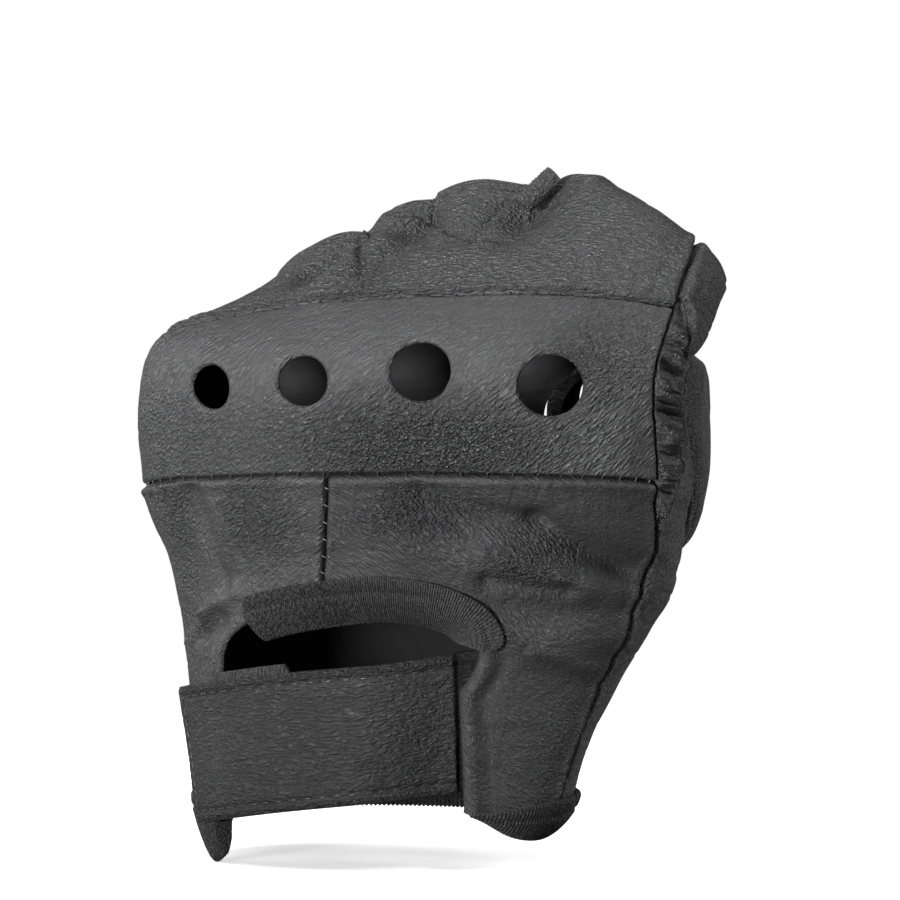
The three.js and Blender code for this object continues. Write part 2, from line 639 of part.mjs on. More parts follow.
function thumbStall() {
  return sheet(THUMB.rings, THUMB.sides, (i, j) => [thumbPoint(i, j, 0), thumbPoint(i, j, LEATHER)],
    { wrap: true });
}

// The gusset between two fingers: a strip that runs in along one finger's side wall, round the crotch and out
// along the next finger's wall. In the table, inset is from the middle of the slit, under from the leather's
// face, past how far it goes below the crotch and short how far it stays off the finger's end, in stations.
const FOURCHETTE = {
  steps: 12, columns: 5, wall: 1, inset: 0.35, under: LEATHER + GAP + 0.25, past: 0.05, short: 0.02,
};
const INTO_THE_HAND = new THREE.Vector3(0, -0.75, -0.66); // from the fingers' ends down to the crotch

function fourchette(notch, near, far) {
  const { steps, columns, wall, inset, under, past, short } = FOURCHETTE;
  const turnOver = 0.25; // share of the way in which the strip turns from one wall to the other
  return sheet(steps + 1, columns, (i, j) => {
    const t = (2 * i) / steps - 1;
    const end = (t < 0 ? near.littleSide : far.thumbSide) - short;
    const station = lerp(CROTCH - past, end, Math.abs(t));
    const place = (depth) => {
      const open = slit(station) + depth / section(station).halfWidth;
      const phi = notch.phi + clamp(t / turnOver, -1, 1) * open;
      const p = skin(phi, station, -under).lerp(skin(-phi, station, -under), j / (columns - 1));
      return Math.abs(t) < turnOver / 2 ? p.addScaledVector(INTO_THE_HAND, depth) : p;
    };
    return [place(inset), place(inset + wall)];
  });
}

function rolledEdge() {
  const { radius, length, chamfer, sides } = ROLL;
  const profile = [[0, 0], [radius - chamfer, 0], [radius, chamfer], [radius, length - chamfer],
    [radius - 2 * chamfer, length], [0, length]];
  return new THREE.LatheGeometry(profile.map(([r, h]) => new THREE.Vector2(r, h - length / 2)), sides);
}

const leather = new THREE.MeshStandardMaterial({ color: 0x2a2a2c, roughness: 0.5, metalness: 0 });
const creased = new THREE.MeshStandardMaterial({ color: 0x303032, roughness: 0.42, metalness: 0 });
const knit = new THREE.MeshStandardMaterial({ color: 0x19191a, roughness: 0.9, metalness: 0 });

const glove = new THREE.Group();

function add(name, geometry, material) {
  const mesh = new THREE.Mesh(geometry, material);
  mesh.name = name;
  glove.add(mesh);
  return mesh;
}

add("knuckle_band", knuckleBand(), leather);
add("finger_back", fingerBack(), leather);
add("back_thumb_side", backThumbSide(), leather);
add("back_little_side", backLittleSide(), leather);
add("palm", palm(), leather);
add("side_gusset", sideGusset(), creased);
add("thumb_stall", thumbStall(), creased);
add("opening_binding", openingBinding(), knit);
add("cuff_binding", cuffBinding(), knit);
add("wrist_strap", wristStrap(), leather);
add("strap_closure", strapClosure(), knit);
NOTCHES.forEach((notch, f) => {
  add("fourchette_" + notch.between, fourchette(notch, FINGERS[f], FINGERS[f + 1]), creased);
});

const roll = add("rolled_edge", rolledEdge(), creased);
const rollStart = skin(ROLL.fromPhi, ROLL.fromStation, ROLL.radius + 3 * GAP);
const rollEnd = skin(ROLL.toPhi, ROLL.toStation, ROLL.radius + 3 * GAP);
roll.position.copy(rollStart).lerp(rollEnd, 0.5);
roll.quaternion.setFromUnitVectors(new THREE.Vector3(0, 1, 0), rollEnd.sub(rollStart).normalize());

export default glove;
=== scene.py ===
"""A fingerless leather motorcycle glove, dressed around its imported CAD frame.

Shapes are worked out in millimetres on the glove's outer surface, which is one tube: phi is the angle round
the glove (0 at the thumb side, 90 degrees on the back, 180 at the little finger side, below 0 on the palm)
and station is the row of SECTIONS from the wrist opening to the finger ends. The glove's back faces -Y.
"""
import math

import bmesh
import bpy
import numpy as np
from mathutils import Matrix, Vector


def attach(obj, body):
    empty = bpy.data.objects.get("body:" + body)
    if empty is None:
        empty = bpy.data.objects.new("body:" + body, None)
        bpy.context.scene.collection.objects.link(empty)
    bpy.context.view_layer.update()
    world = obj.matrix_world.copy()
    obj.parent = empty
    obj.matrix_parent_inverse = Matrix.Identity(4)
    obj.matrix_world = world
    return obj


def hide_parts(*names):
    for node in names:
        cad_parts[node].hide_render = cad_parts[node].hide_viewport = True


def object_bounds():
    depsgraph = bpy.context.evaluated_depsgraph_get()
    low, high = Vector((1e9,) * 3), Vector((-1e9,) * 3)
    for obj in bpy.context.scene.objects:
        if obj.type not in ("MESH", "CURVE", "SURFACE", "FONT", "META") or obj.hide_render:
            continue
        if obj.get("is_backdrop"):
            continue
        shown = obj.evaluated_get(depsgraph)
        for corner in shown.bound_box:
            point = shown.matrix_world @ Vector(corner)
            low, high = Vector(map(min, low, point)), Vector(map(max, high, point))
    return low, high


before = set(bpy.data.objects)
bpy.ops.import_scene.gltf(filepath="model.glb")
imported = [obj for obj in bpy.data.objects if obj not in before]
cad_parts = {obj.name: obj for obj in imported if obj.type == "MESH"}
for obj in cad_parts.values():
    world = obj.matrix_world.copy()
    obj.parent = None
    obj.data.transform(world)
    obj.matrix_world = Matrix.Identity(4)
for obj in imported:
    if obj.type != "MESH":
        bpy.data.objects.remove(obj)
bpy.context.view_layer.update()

MM = 0.001
DEG = math.pi / 180
ROUND_MM, BACK_ROUND_MM, ALONG_MM = 34, 30, 17  # rough lengths of a radian, of one on the back, of a station
FAR = 99.0  # a distance at which nothing is beside

# The measures that the CAD source has too.
LEATHER = 1.4
KNIT = 1.1
GAP = 0.3
SEAM = 0.002
LOWER_SEAM, UPPER_SEAM, CROTCH = 4, 6, 7
SECTIONS = {
    "backY": (-27, -28, -29.5, -33.5, -43, -50, -41, -20, -6),
    "backZ": (2.5, 16, 32, 47.5, 65.5, 83, 97, 112.8, 122),
    "frontY": (26, 28, 30, 27, 10, -12, -16, -6, 9),
    "frontZ": (4.5, 15, 30, 44, 61, 79, 88.5, 94.5, 102.6),
    "ulnarX": (-33.5, -34.5, -37, -39.2, -40.8, -37, -33, -23.5, -17),
    "radialX": (35, 39.6, 47, 55.5, 60.5, 62.5, 65, 66, 58.5),
    "widest": (0.5, 0.5, 0.48, 0.46, 0.46, 0.42, 0.42, 0.46, 0.46),
    "rise": (0, 0.02, 0.03, 0, 0, 0, 0.03, 0.19, 0.24),
    "ulnarPower": (2.1, 2.1, 2, 1.9, 1.75, 1.7, 1.72, 1.78, 2.1),
    "radialPower": (2.3, 2.3, 2.5, 2.8, 3, 3, 3, 2.6, 2.5),
    "frontPower": (2.2, 2.2, 2.3, 2.4, 2.7, 2.8, 3, 2.7, 2.6),
    "tipFall": (0, 0, 0, 0, 0, 0, 1, 6, 18),
}
SECTIONS = {name: np.array(values, float) for name, values in SECTIONS.items()}
FALL_FROM, FALL_OVER = 0.38, 0.45
NOTCHES = {  # angle, half width and depth of each valley between two fingers
    "index_middle": (75 * DEG, 8.5 * DEG, 6.7),
    "middle_ring": (100 * DEG, 5.5 * DEG, 3.6),
    "ring_little": (122 * DEG, 5.5 * DEG, 3.2),
}
NOTCH_FADE = {"from": 6.95, "to": 7.5, "share": 0.55}
KNUCKLE_DIP = 0.9
# Each finger: the stations of its stall's end, at even steps from its thumb side to its other side, and the
# columns of its grid on the back.
FINGERS = (
    ("index", (7.8, 7.8, 7.86, 7.38, 7.4), 64),
    ("middle", (7.58, 7.6, 7.62, 7.6, 7.58), 44),
    ("ring", (7.64, 7.6, 7.56, 7.52, 7.48), 36),
    ("little", (7.54, 7.6, 7.67, 7.73, 7.8), 56),
)
PALM_INDEX_ENDS = (7.8, 7.74, 7.68, 7.6, 7.5)  # the index finger's stations on the palm side
SLIT = 0.0012  # half the angle between two finger tabs, whose edges nearly touch
HOLES = ((44, 80.8, 5.2), (21.3, 83.6, 4.9), (-0.4, 82, 4.2), (-19.2, 81, 3.7))  # x, z and radius
SIDE_SEAM = {"station": (0, 3, 4, 6, 8), "radial": (9, 14, 16, 17, 22), "ulnar": (190, 192, 194, 194, 190)}
GUSSET = {"from": 3.62, "to": 6.12, "width": 17 * DEG, "wall": 1.3}
THUMB = {
    "phi": -36 * DEG, "station": 4.55, "over_phi": 28 * DEG, "over_station": 1.3, "root_radius": 18,
    "end": (38, 35, 84), "end_radius": 12.5, "aim": (-0.62, 0.6, 0.5), "side": (0.72, 0.69, 0),
    "root_pull": 29, "end_pull": 24, "length": 44,
}
OPENING = {
    "leftX": -24.2, "rightX": 22.4, "sideTop": 27, "shoulderZ": 36, "leftBulgeX": -23.5, "rightBulgeX": 27.2,
    "crownX": 8, "crownZ": 43.4, "bottomZ": -12, "bindFrom": 0.362, "bindTo": 0.682,
    "bindLength": 75,
}
HOLE_BEVEL = 0.45  # how far the grid stands back from a hole, for the round rim
HOLE_EASE = 3.0  # how far from a hole its grid is pushed out
HEM_RISE = {"phi": 63 * DEG, "width": 18 * DEG, "stations": 0.26}  # of the hem beside the opening's thumb end
CUFF_OVERHANG = 2.6
CUFF_DIPS = ((10 * DEG, 20 * DEG, 1.3), (148 * DEG, 17 * DEG, 4.4), (56 * DEG, 16 * DEG, -1.3))
STRAP = {
    "fromX": 28, "bottomPhi": 145.5 * DEG, "topPhi": 153 * DEG, "topZ": 31.6, "bottomZ": 6.3, "slope": 0.118,
    "bow": 0.0016, "wall": 1.5, "rootRaise": -1.8, "tuckedTo": 20.5, "fullFrom": 4, "raise": 3.5,
    "height": 25.3, "length": 58, "hem": 2.1,
}
CLOSURE = {"fromX": -4, "toPhi": 142 * DEG, "above": 1.5, "bottomMargin": 9, "wall": 0.9, "raise": 1.4}
ROLL = {"from": (79 * DEG, 7.02), "to": (66 * DEG, 7.3), "radius": 1.95, "length": 8.2}

# Folds of the leather on the back: a line from x0, z0 to x1, z1 in the back view, the half width of its dent
# and its depth. A depth below zero is a ridge. The first eight are in the CAD source too.
FOLDS = (
    (18, 60, 53, 47, 4.5, 2),
    (16, 53.5, 44, 46, 4, -1.2),
    (33, 36.5, 52, 36, 3.5, -1.1),
    (33, 42, 51, 41, 3, 1.2),
    (-29, 60, -32, 38, 4, 1.6),
    (2, 109, -6, 102, 3, 1.6),
    (8, 106, 0, 99, 3.5, -1),
    (9, 109, 25, 108, 2.6, 1.5),
    (5, 103, 10, 99, 1.6, 0.7),
    (20, 61, 39.1, 56.3, 2.4, 1.5),
    (39.1, 56.3, 51.2, 47.4, 2.6, 2.2),
    (30, 53.4, 40.7, 48.7, 2.8, -1.8),
    (29, 47.0, 42.1, 45.0, 1.6, 1.5),
    (36, 34.6, 43.7, 31, 2.2, -0.9),
    (-20, 44.2, -28.4, 40.3, 1.4, -1.1),
    (-28.4, 40.3, -34, 34.5, 1.4, -1.0),
    (-24, 39.2, -29.5, 36.2, 1.7, 1.5),
    (-28.7, 34, -28.7, 27, 0.8, -0.6),
    (-27, 62, -22, 45, 1.8, 1.2),
    (-21, 60, -19, 49, 1.8, -0.6),
    (-15, 61, -19, 48, 2.0, 0.7),
    (28, 44, 31, 34, 1.8, 0.5),
)
LEDGES = (  # as FOLDS, but the leather left of the line, seen from its first end, stands over the right side
    (14.5, 115.5, 6.8, 108.6, 5, 1.3),
    (25.5, 107.4, 9.5, 111.5, 4, 0.8),
    (28, 113.5, 25.5, 107.6, 3.5, 0.7),
    (4, 104, 1, 109, 4, 0.9),
)


def lerp(a, b, t):
    return a + (b - a) * t


def smoothstep(x, low, high):
    t = np.clip((x - low) / (high - low), 0, 1)
    return t * t * (3 - 2 * t)


def bump(x, width=1.0):
    return np.exp(-((x / width) ** 2))


def unit(v):
    return v / np.maximum(np.linalg.norm(v, axis=-1, keepdims=True), 1e-9)


def column(name, station):
    """Smooth curve through one column of SECTIONS."""
    values = SECTIONS[name]
    last = len(values) - 1
    i = np.clip(np.floor(station), 0, last - 1).astype(int)
    t = station - i
    a, b, c, d = (values[np.clip(i + k, 0, last)] for k in (-1, 0, 1, 2))
    before = np.where(i == 0, c - b, (c - a) / 2)
    after = np.where(i == last - 1, c - b, (d - b) / 2)
    return b + t * t * (3 - 2 * t) * (c - b) + t * (1 - t) * ((1 - t) * before - t * after)


def section(station):
    k = {name: column(name, station) for name in SECTIONS}
    k["middleX"] = (k["ulnarX"] + k["radialX"]) / 2
    k["halfWidth"] = (k["radialX"] - k["ulnarX"]) / 2
    k["thickness"] = np.hypot(k["backY"] - k["frontY"], k["backZ"] - k["frontZ"])
    return k


def surface(phi, station):
    """A point of the smooth outer surface."""
    phi, station = np.broadcast_arrays(np.asarray(phi, float), np.asarray(station, float))
    k = section(station)
    turn = (phi + math.pi) % (2 * math.pi) - math.pi
    across = np.cos(turn)
    back = turn >= 0
    power = np.where(back, np.where(across < 0, k["ulnarPower"], k["radialPower"]), k["frontPower"])
    height = np.maximum(0, 1 - np.abs(across) ** power) ** (1 / power)
    x = k["middleX"] + k["halfWidth"] * across
    faded = NOTCH_FADE["share"] * smoothstep(station, NOTCH_FADE["from"], NOTCH_FADE["to"])
    on_fingers = smoothstep(station, 6.05, 7.3) * (1 - faded)
    on_band = KNUCKLE_DIP * smoothstep(station, 4.1, 4.9) * (1 - smoothstep(station, 5.1, 5.9))
    valley = sum(
        (depth * on_fingers + on_band) * bump(np.abs(turn) - notch, width)
        for notch, width, depth in NOTCHES.values()
    )
    dip = valley * height / k["thickness"]
    share = np.where(back, k["widest"] + (1 - k["widest"]) * height - dip, k["widest"] * (1 - height) + dip)
    fall = k["tipFall"] * np.maximum(0, (across - FALL_FROM) / FALL_OVER) ** 1.5
    y = lerp(k["frontY"], k["backY"], share)
    z = lerp(k["frontZ"], k["backZ"], share) + k["rise"] * (x - k["middleX"]) - fall
    return np.stack([x, y, z], axis=-1)


def slopes(phi, station, step=0.01):
    """How far the surface goes for one station and for one radian."""
    along = (surface(phi, station + step) - surface(phi, station - step)) / (2 * step)
    around = (surface(phi + step, station) - surface(phi - step, station)) / (2 * step)
    return along, around


def normal(phi, station):
    along, around = slopes(phi, station)
    return unit(np.cross(along, around))


def beside(x, z, x0, z0, x1, z1):
    """The distance to a line of the back view, and whether the place is left of it."""
    dx, dz = x1 - x0, z1 - z0
    t = np.clip(((x - x0) * dx + (z - z0) * dz) / (dx * dx + dz * dz), 0, 1)
    return np.hypot(x - x0 - t * dx, z - z0 - t * dz), dx * (z - z0) - dz * (x - x0) > 0


def folded(p, phi, lift):
    """The distance off the surface where folds run over the back."""
    depth = 0
    for *line, width, deep in FOLDS:
        away, _ = beside(p[..., 0], p[..., 2], *line)
        depth = depth + deep * bump(away, width)
    for *line, width, height in LEDGES:
        away, left = beside(p[..., 0], p[..., 2], *line)
        step = 0.8 * bump(away, 0.7) - bump(away, 0.4)
        depth = depth + height * np.where(left, -bump(away, width), step)
    return lift - smoothstep(np.sin(phi), 0.05, 0.35) * depth


def lifted(phi, station, lift=0.0):
    """A point at a distance off the surface, with the folds of the back."""
    p = surface(phi, station)
    return p + normal(phi, station) * np.asarray(folded(p, phi, lift))[..., None]


def phi_at(x, station):
    k = section(np.asarray(station, float))
    return np.arccos(np.clip((x - k["middleX"]) / k["halfWidth"], -1, 1))


def station_at(phi, z):
    phi, z = np.broadcast_arrays(np.asarray(phi, float), np.asarray(z, float))
    low, high = np.full(phi.shape, -0.5), np.full(phi.shape, 6.2)
    for _ in range(26):
        middle = (low + high) / 2
        below = surface(phi, middle)[..., 2] < z
        low, high = np.where(below, middle, low), np.where(below, high, middle)
    return (low + high) / 2


def on_back(x, z):
    """phi and station of a point of the back view."""
    x, z = np.asarray(x, float), np.asarray(z, float)
    phi = np.full(x.shape, math.pi / 2)
    for _ in range(6):
        station = station_at(phi, z)
        phi = phi_at(x, station)
    return phi, station


def side_seam(side, station):
    return np.interp(station, SIDE_SEAM["station"], SIDE_SEAM[side]) * DEG


def side_gap(station):
    return 0.04 / section(np.asarray(station, float))["thickness"]


def centre_seam(station):
    return phi_at(lerp(-1.4, 2.6, np.clip(station - 3, 0, 1)), station)


def radial_edge(station):
    """Where the panels of the back begin, at the thumb side."""
    return side_seam("radial", station) + side_gap(station)


def ulnar_edge(station):
    """Where the panels of the back end, at the little finger side."""
    return side_seam("ulnar", station) - side_gap(station)


def gusset_width(station):
    share = np.clip((station - GUSSET["from"]) / (GUSSET["to"] - GUSSET["from"]), 0, 1)
    return GUSSET["width"] * np.sin(math.pi * share) ** 0.6


LATTICE = np.random.RandomState(11).rand(32, 32, 32) * 2 - 1


def noise(p, size):
    """Smooth noise from -1 to 1 with lumps of one size, or of three sizes along the axes."""
    q = p / np.asarray(size, float)
    i = np.floor(q).astype(int)
    f = q - i
    f = f * f * (3 - 2 * f)
    total = 0
    for corner in np.ndindex(2, 2, 2):
        weight = np.prod(np.where(np.array(corner) == 1, f, 1 - f), axis=-1)
        total = total + weight * LATTICE[tuple(((i + corner) % 32)[..., k] for k in range(3))]
    return total


def creases(phi, station, round_size, along_size, seed=0.0):
    """Noise with sharp valleys, in lumps measured round the glove and along it, from 0 to 1."""
    flat = np.stack([
        phi * ROUND_MM + 0 * station,
        station * ALONG_MM + 0 * phi,
        np.full(np.broadcast(phi, station).shape, seed),
    ], axis=-1)
    return 1 - np.abs(noise(flat, (round_size, along_size, 1)))


def wear_and_highlight_spots(p, spots):
    """How worn and glossy the leather is, and how much painted highlight it gets, by ovals of the back view:
    x, z, half width, half height and strength.
    """
    return sum(
        strength * bump(np.hypot((p[..., 0] - x) / wide, (p[..., 2] - z) / high))
        for x, z, wide, high, strength in spots
    )


# Meshes

def grid(rows, columns, low=0.0, high=1.0):
    """Shares down and across a grid."""
    down = np.linspace(low, high, rows)[:, None] + np.zeros((1, columns))
    return down, np.linspace(0, 1, columns) + np.zeros((rows, 1))


def add_mesh(name, points, faces, materials, nodes=(), wear_and_painted_light=None, inside=None, sharp=45):
    """Makes a piece of the glove out of points in millimetres."""
    mesh = bpy.data.meshes.new(name)
    mesh.from_pydata((np.asarray(points) * MM).tolist(), [], [list(face) for face in faces])
    mesh.update()
    if wear_and_painted_light is not None:
        # A point attribute of wear and of painted highlight and painted shade, read by the leather materials.
        mesh.attributes.new("wear_and_painted_light", "FLOAT", "POINT").data.foreach_set("value", np.asarray(wear_and_painted_light, np.float32))
    for material in materials:
        mesh.materials.append(material)
    if inside is not None:
        mesh.polygons.foreach_set("material_index", np.asarray(inside, np.int32))
    mesh.polygons.foreach_set("use_smooth", np.ones(len(faces), bool))
    mesh.set_sharp_from_angle(angle=sharp * DEG)
    piece = bpy.data.objects.new(name, mesh)
    bpy.context.scene.collection.objects.link(piece)
    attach(piece, "root")
    if nodes:
        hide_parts(*nodes)
    return piece


def mend(piece, weld=False):
    """Turns all faces outwards, and first joins the points that share a place."""
    work = bmesh.new()
    work.from_mesh(piece.data)
    if weld:
        bmesh.ops.remove_doubles(work, verts=work.verts, dist=1e-7)
    bmesh.ops.recalc_face_normals(work, faces=work.faces)
    work.to_mesh(piece.data)
    work.free()


def tube_faces(index, capped=True):
    """Faces of a tube, from its points' numbers in rings."""
    following = np.roll(index, -1, axis=1)
    faces = np.stack([index[:-1], following[:-1], following[1:], index[1:]], -1).reshape(-1, 4).tolist()
    if capped:
        faces += [index[0, ::-1].tolist(), index[-1].tolist()]
    return faces


def closed_sheet(outer, inner, keep=None, wrap=False):
    """Points, faces and which faces are inner ones, of a sheet with two sides on a grid."""
    rows, columns = outer.shape[:2]
    cells = columns if wrap else columns - 1
    if keep is None:
        keep = np.ones((rows - 1, cells), bool)
    index = np.arange(rows * columns).reshape(rows, columns)
    under = rows * columns
    following = (np.arange(cells) + 1) % columns
    a, b = index[:-1, :cells], index[:-1, following]
    d, c = index[1:, :cells], index[1:, following]
    if wrap:
        left, right = np.roll(keep, 1, axis=1), np.roll(keep, -1, axis=1)
    else:
        left = np.pad(keep, ((0, 0), (1, 0)))[:, :-1]
        right = np.pad(keep, ((0, 0), (0, 1)))[:, 1:]
    below = np.pad(keep, ((1, 0), (0, 0)))[:-1]
    above = np.pad(keep, ((0, 1), (0, 0)))[1:]
    parts = [
        (np.stack([a, b, c, d], -1)[keep], 0),
        (np.stack([d, c, b, a], -1)[keep] + under, 1),
    ]
    for neighbour, first, second in ((below, b, a), (above, d, c), (left, a, d), (right, c, b)):
        edge = keep & ~neighbour
        parts.append((np.stack([first, second, second + under, first + under], -1)[edge], 0))
    faces = np.concatenate([f for f, _ in parts])
    inside = np.concatenate([np.full(len(f), side) for f, side in parts])
    points = np.concatenate([outer.reshape(-1, 3), inner.reshape(-1, 3)])
    used, faces_new = np.unique(faces, return_inverse=True)
    faces = faces_new.reshape(faces.shape)
    p = points[used]
    a, b, c, d = (p[faces[:, corner]] for corner in range(4))
    volume = sum((a * np.cross(one, other)).sum() for one, other in ((b, c), (c, d)))
    if volume < 0:
        faces = faces[:, ::-1]
    return p, faces, inside, used


def border(keep, wrap=False):
    """Which grid points lie between a kept and a dropped cell, or at the edge of the grid."""
    rows, cells = keep.shape
    count = np.zeros((rows + 1, cells if wrap else cells + 1), int)
    for di in (0, 1):
        for dj in (0, 1):
            if wrap:
                count[di:rows + di] += np.roll(keep, dj, axis=1)
            else:
                count[di:rows + di, dj:cells + dj] += keep
    return (count > 0) & (count < 4)


def sewn(distance, along=None, roll=0.5, groove=1.4):
    """How a panel's edge goes down into its seam: a low roll beside a narrow groove, with small puckers."""
    shape = roll * bump(distance - 1.3, 1.1) - groove * bump(distance, 0.45)
    if along is not None:
        pucker = np.sin(along * 1.25) + 0.6 * np.sin(along * 2.1 + 1.3)
        shape = shape + 0.11 * pucker * np.exp(-distance / 3.2) * (1 - bump(distance, 0.8))
    return shape


def sewn_along(phi, station, per_phi, seams, roll, groove):
    """As sewn, at seams that run along the glove."""
    return sum(sewn(np.abs(phi - seam) * per_phi, station * ALONG_MM, roll, groove) for seam in seams)


def side_seams(station):
    return [side_seam(side, station) for side in ("radial", "ulnar")]


def leather_sheet(name, phi, station, lift, wall, nodes, materials=None, keep=None, wear_and_painted_light=0.0,
                  rounded=None):
    """A leather panel on a grid of places. rounded says which points lie on a free edge."""
    p = surface(phi, station)
    n = normal(phi, station)
    away = folded(p, phi, lift)
    curl = 0.36 * wall * (rounded if rounded is not None else 0)
    outer = p + n * (away - curl)[..., None]
    inner = p + n * (away - wall + curl)[..., None]
    points, faces, inside, used = closed_sheet(outer, inner, keep)
    wear_and_painted_light = np.broadcast_to(wear_and_painted_light, phi.shape).reshape(-1)
    wear_and_painted_light = np.concatenate([wear_and_painted_light, wear_and_painted_light])[used]
    return add_mesh(name, points, faces, materials or [grained, flesh_side], nodes, wear_and_painted_light, inside)


# Materials

GRAIN_DEPTH = 0.0013


def new_material(name, colour, roughness, **inputs):
    material = bpy.data.materials.new(name)
    material.use_nodes = True
    shader = material.node_tree.nodes["Principled BSDF"]
    shader.inputs["Base Color"].default_value = (*colour, 1)
    shader.inputs["Roughness"].default_value = roughness
    for socket, value in inputs.items():
        shader.inputs[socket.replace("_", " ")].default_value = value
    return material, material.node_tree, shader


class Nodes:
    """Short names for building a node tree."""

    def __init__(self, tree):
        self.tree = tree
        self.place = self.make("ShaderNodeTexCoord").outputs["Object"]

    def make(self, kind, **settings):
        node = self.tree.nodes.new(kind)
        for key, value in settings.items():
            setattr(node, key, value)
        return node

    def link(self, source, target):
        if isinstance(source, (int, float)):
            target.default_value = source
        else:
            self.tree.links.new(source, target)

    def math(self, operation, a, b=0.0, c=0.0):
        node = self.make("ShaderNodeMath", operation=operation)
        for value, socket in zip((a, b, c), node.inputs):
            self.link(value, socket)
        return node.outputs[0]

    def noise(self, scale, detail=2.0, rough=0.5, place=None):
        node = self.make("ShaderNodeTexNoise")
        self.link(place or self.place, node.inputs["Vector"])
        node.inputs["Scale"].default_value = scale
        node.inputs["Detail"].default_value = detail
        node.inputs["Roughness"].default_value = rough
        return node

    def cells(self, scale, place=None, feature="DISTANCE_TO_EDGE"):
        node = self.make("ShaderNodeTexVoronoi", feature=feature)
        self.link(place or self.place, node.inputs["Vector"])
        node.inputs["Scale"].default_value = scale
        return node.outputs["Distance"]

    def spread(self, value, low, high, to_low=0.0, to_high=1.0):
        node = self.make("ShaderNodeMapRange", interpolation_type="SMOOTHSTEP")
        self.link(value, node.inputs["Value"])
        for socket, number in zip(("From Min", "From Max", "To Min", "To Max"), (low, high, to_low, to_high)):
            node.inputs[socket].default_value = number
        return node.outputs["Result"]

    def stretched(self, scale, wobble, wobble_scale, turn=0.0):
        """The place, turned about the y axis, squeezed along the axes, and shifted by noise."""
        turned = self.make("ShaderNodeVectorRotate", rotation_type="Y_AXIS")
        self.link(self.place, turned.inputs["Vector"])
        turned.inputs["Angle"].default_value = turn
        node = self.make("ShaderNodeVectorMath", operation="MULTIPLY")
        self.link(turned.outputs[0], node.inputs[0])
        node.inputs[1].default_value = scale
        shift = self.make("ShaderNodeVectorMath", operation="MULTIPLY_ADD")
        self.link(self.noise(wobble_scale, 2).outputs["Color"], shift.inputs[0])
        shift.inputs[1].default_value = (wobble, wobble, wobble)
        self.link(node.outputs[0], shift.inputs[2])
        return shift.outputs[0]

    def mix(self, share, dark, light):
        node = self.make("ShaderNodeMix", data_type="RGBA")
        self.link(share, node.inputs["Factor"])
        for value, socket in ((dark, "A"), (light, "B")):
            target = next(s for s in node.inputs if s.name == socket and s.type == "RGBA")
            target.default_value = (*value, 1)
        return next(s for s in node.outputs if s.type == "RGBA")

    def bump(self, height, strength, distance):
        node = self.make("ShaderNodeBump")
        node.inputs["Strength"].default_value = strength
        node.inputs["Distance"].default_value = distance
        self.link(height, node.inputs["Height"])
        return node.outputs["Normal"]


def leather_material(name, colour, gloss, grain, streaks=(1, 1, 1), turn=0.0, specular=0.42):
    """Soft grained leather: wrinkles drawn out one way, pebbles and pores. Where the point attribute says the
    leather is worn the grain stands out, shines and is lighter, a painted highlight; below zero it is darker,
    painted shade, as in a seam. streaks squeezes the wrinkles' pattern along the axes, after a turn about the
    axis from the back to the palm."""
    material, tree, shader = new_material(name, colour, gloss, Specular_IOR_Level=specular)
    k = Nodes(tree)
    wear_and_painted_light = k.make("ShaderNodeAttribute", attribute_name="wear_and_painted_light").outputs["Fac"]
    wear_and_highlight = k.spread(wear_and_painted_light, 0.0, 0.9, 0.0, 1.0)
    strength = k.math("MULTIPLY_ADD", wear_and_highlight, 1.35, 0.15)
    place = k.stretched(streaks, 0.0012, 240, turn)
    round_place = k.stretched((1, 1, 1), 0.0006, 500)
    wrinkles = k.spread(k.cells(grain, place), 0.0, 0.26)
    pebbles = k.spread(k.cells(grain * 1.25, round_place), 0.0, 0.24)
    lines = k.spread(k.noise(grain * 1.3, 3, 0.65, place).outputs["Fac"], 0.38, 0.64)
    specks = k.spread(k.noise(grain * 1.35, 1.5, 0.7, round_place).outputs["Fac"], 0.46, 0.6)
    large = k.noise(grain * 0.25, 4, 0.6, place).outputs["Fac"]
    pores = k.noise(grain * 4, 2, 0.7).outputs["Fac"]
    drawn = k.math("MULTIPLY_ADD", wrinkles, 0.45, k.math("MULTIPLY", lines, 0.55))
    pebbled = k.math("MULTIPLY_ADD", pebbles, 0.4, k.math("MULTIPLY", specks, 0.6))
    fine = k.math("MULTIPLY_ADD", k.math("SUBTRACT", pebbled, drawn), k.math("MULTIPLY", wear_and_highlight, 0.75), drawn)
    height = k.math("ADD", k.math("MULTIPLY", fine, strength), k.math("MULTIPLY", large, 0.45))
    height = k.math("ADD", height, k.math("MULTIPLY", pores, 0.12))
    k.link(k.bump(height, 1.0, GRAIN_DEPTH), shader.inputs["Normal"])
    patchy = k.noise(45, 3, 0.6).outputs["Fac"]
    dark = tuple(0.12 * c for c in colour)
    light = tuple(2.6 * c for c in colour)
    # The grain's colour is lighter on its tops and darker in its crevices, more so where worn: painted glints
    # and painted shade of the grain.
    tone = k.math("MULTIPLY", k.math("SUBTRACT", fine, 0.5), strength)
    # Worn places are lighter in colour: painted highlight.
    tone = k.math("ADD", k.math("MULTIPLY_ADD", wear_and_highlight, 0.34, tone), k.math("MULTIPLY_ADD", patchy, 0.2, 0.3))
    # Below zero the colour is darker: painted shade in seam grooves and under an overlapping edge.
    tone = k.math("ADD", tone, k.math("MULTIPLY", k.math("MINIMUM", wear_and_painted_light, 0.0), 0.8))
    k.link(k.mix(tone, dark, light), shader.inputs["Base Color"])
    shine = k.math("MULTIPLY_ADD", k.math("MAXIMUM", wear_and_painted_light, -0.6), -0.2, gloss)
    shine = k.math("ADD", shine, k.spread(patchy, 0.3, 0.7, 0.05, -0.05))
    k.link(k.math("ADD", shine, k.spread(fine, 0.2, 0.8, 0.12, -0.12)), shader.inputs["Roughness"])
    return material


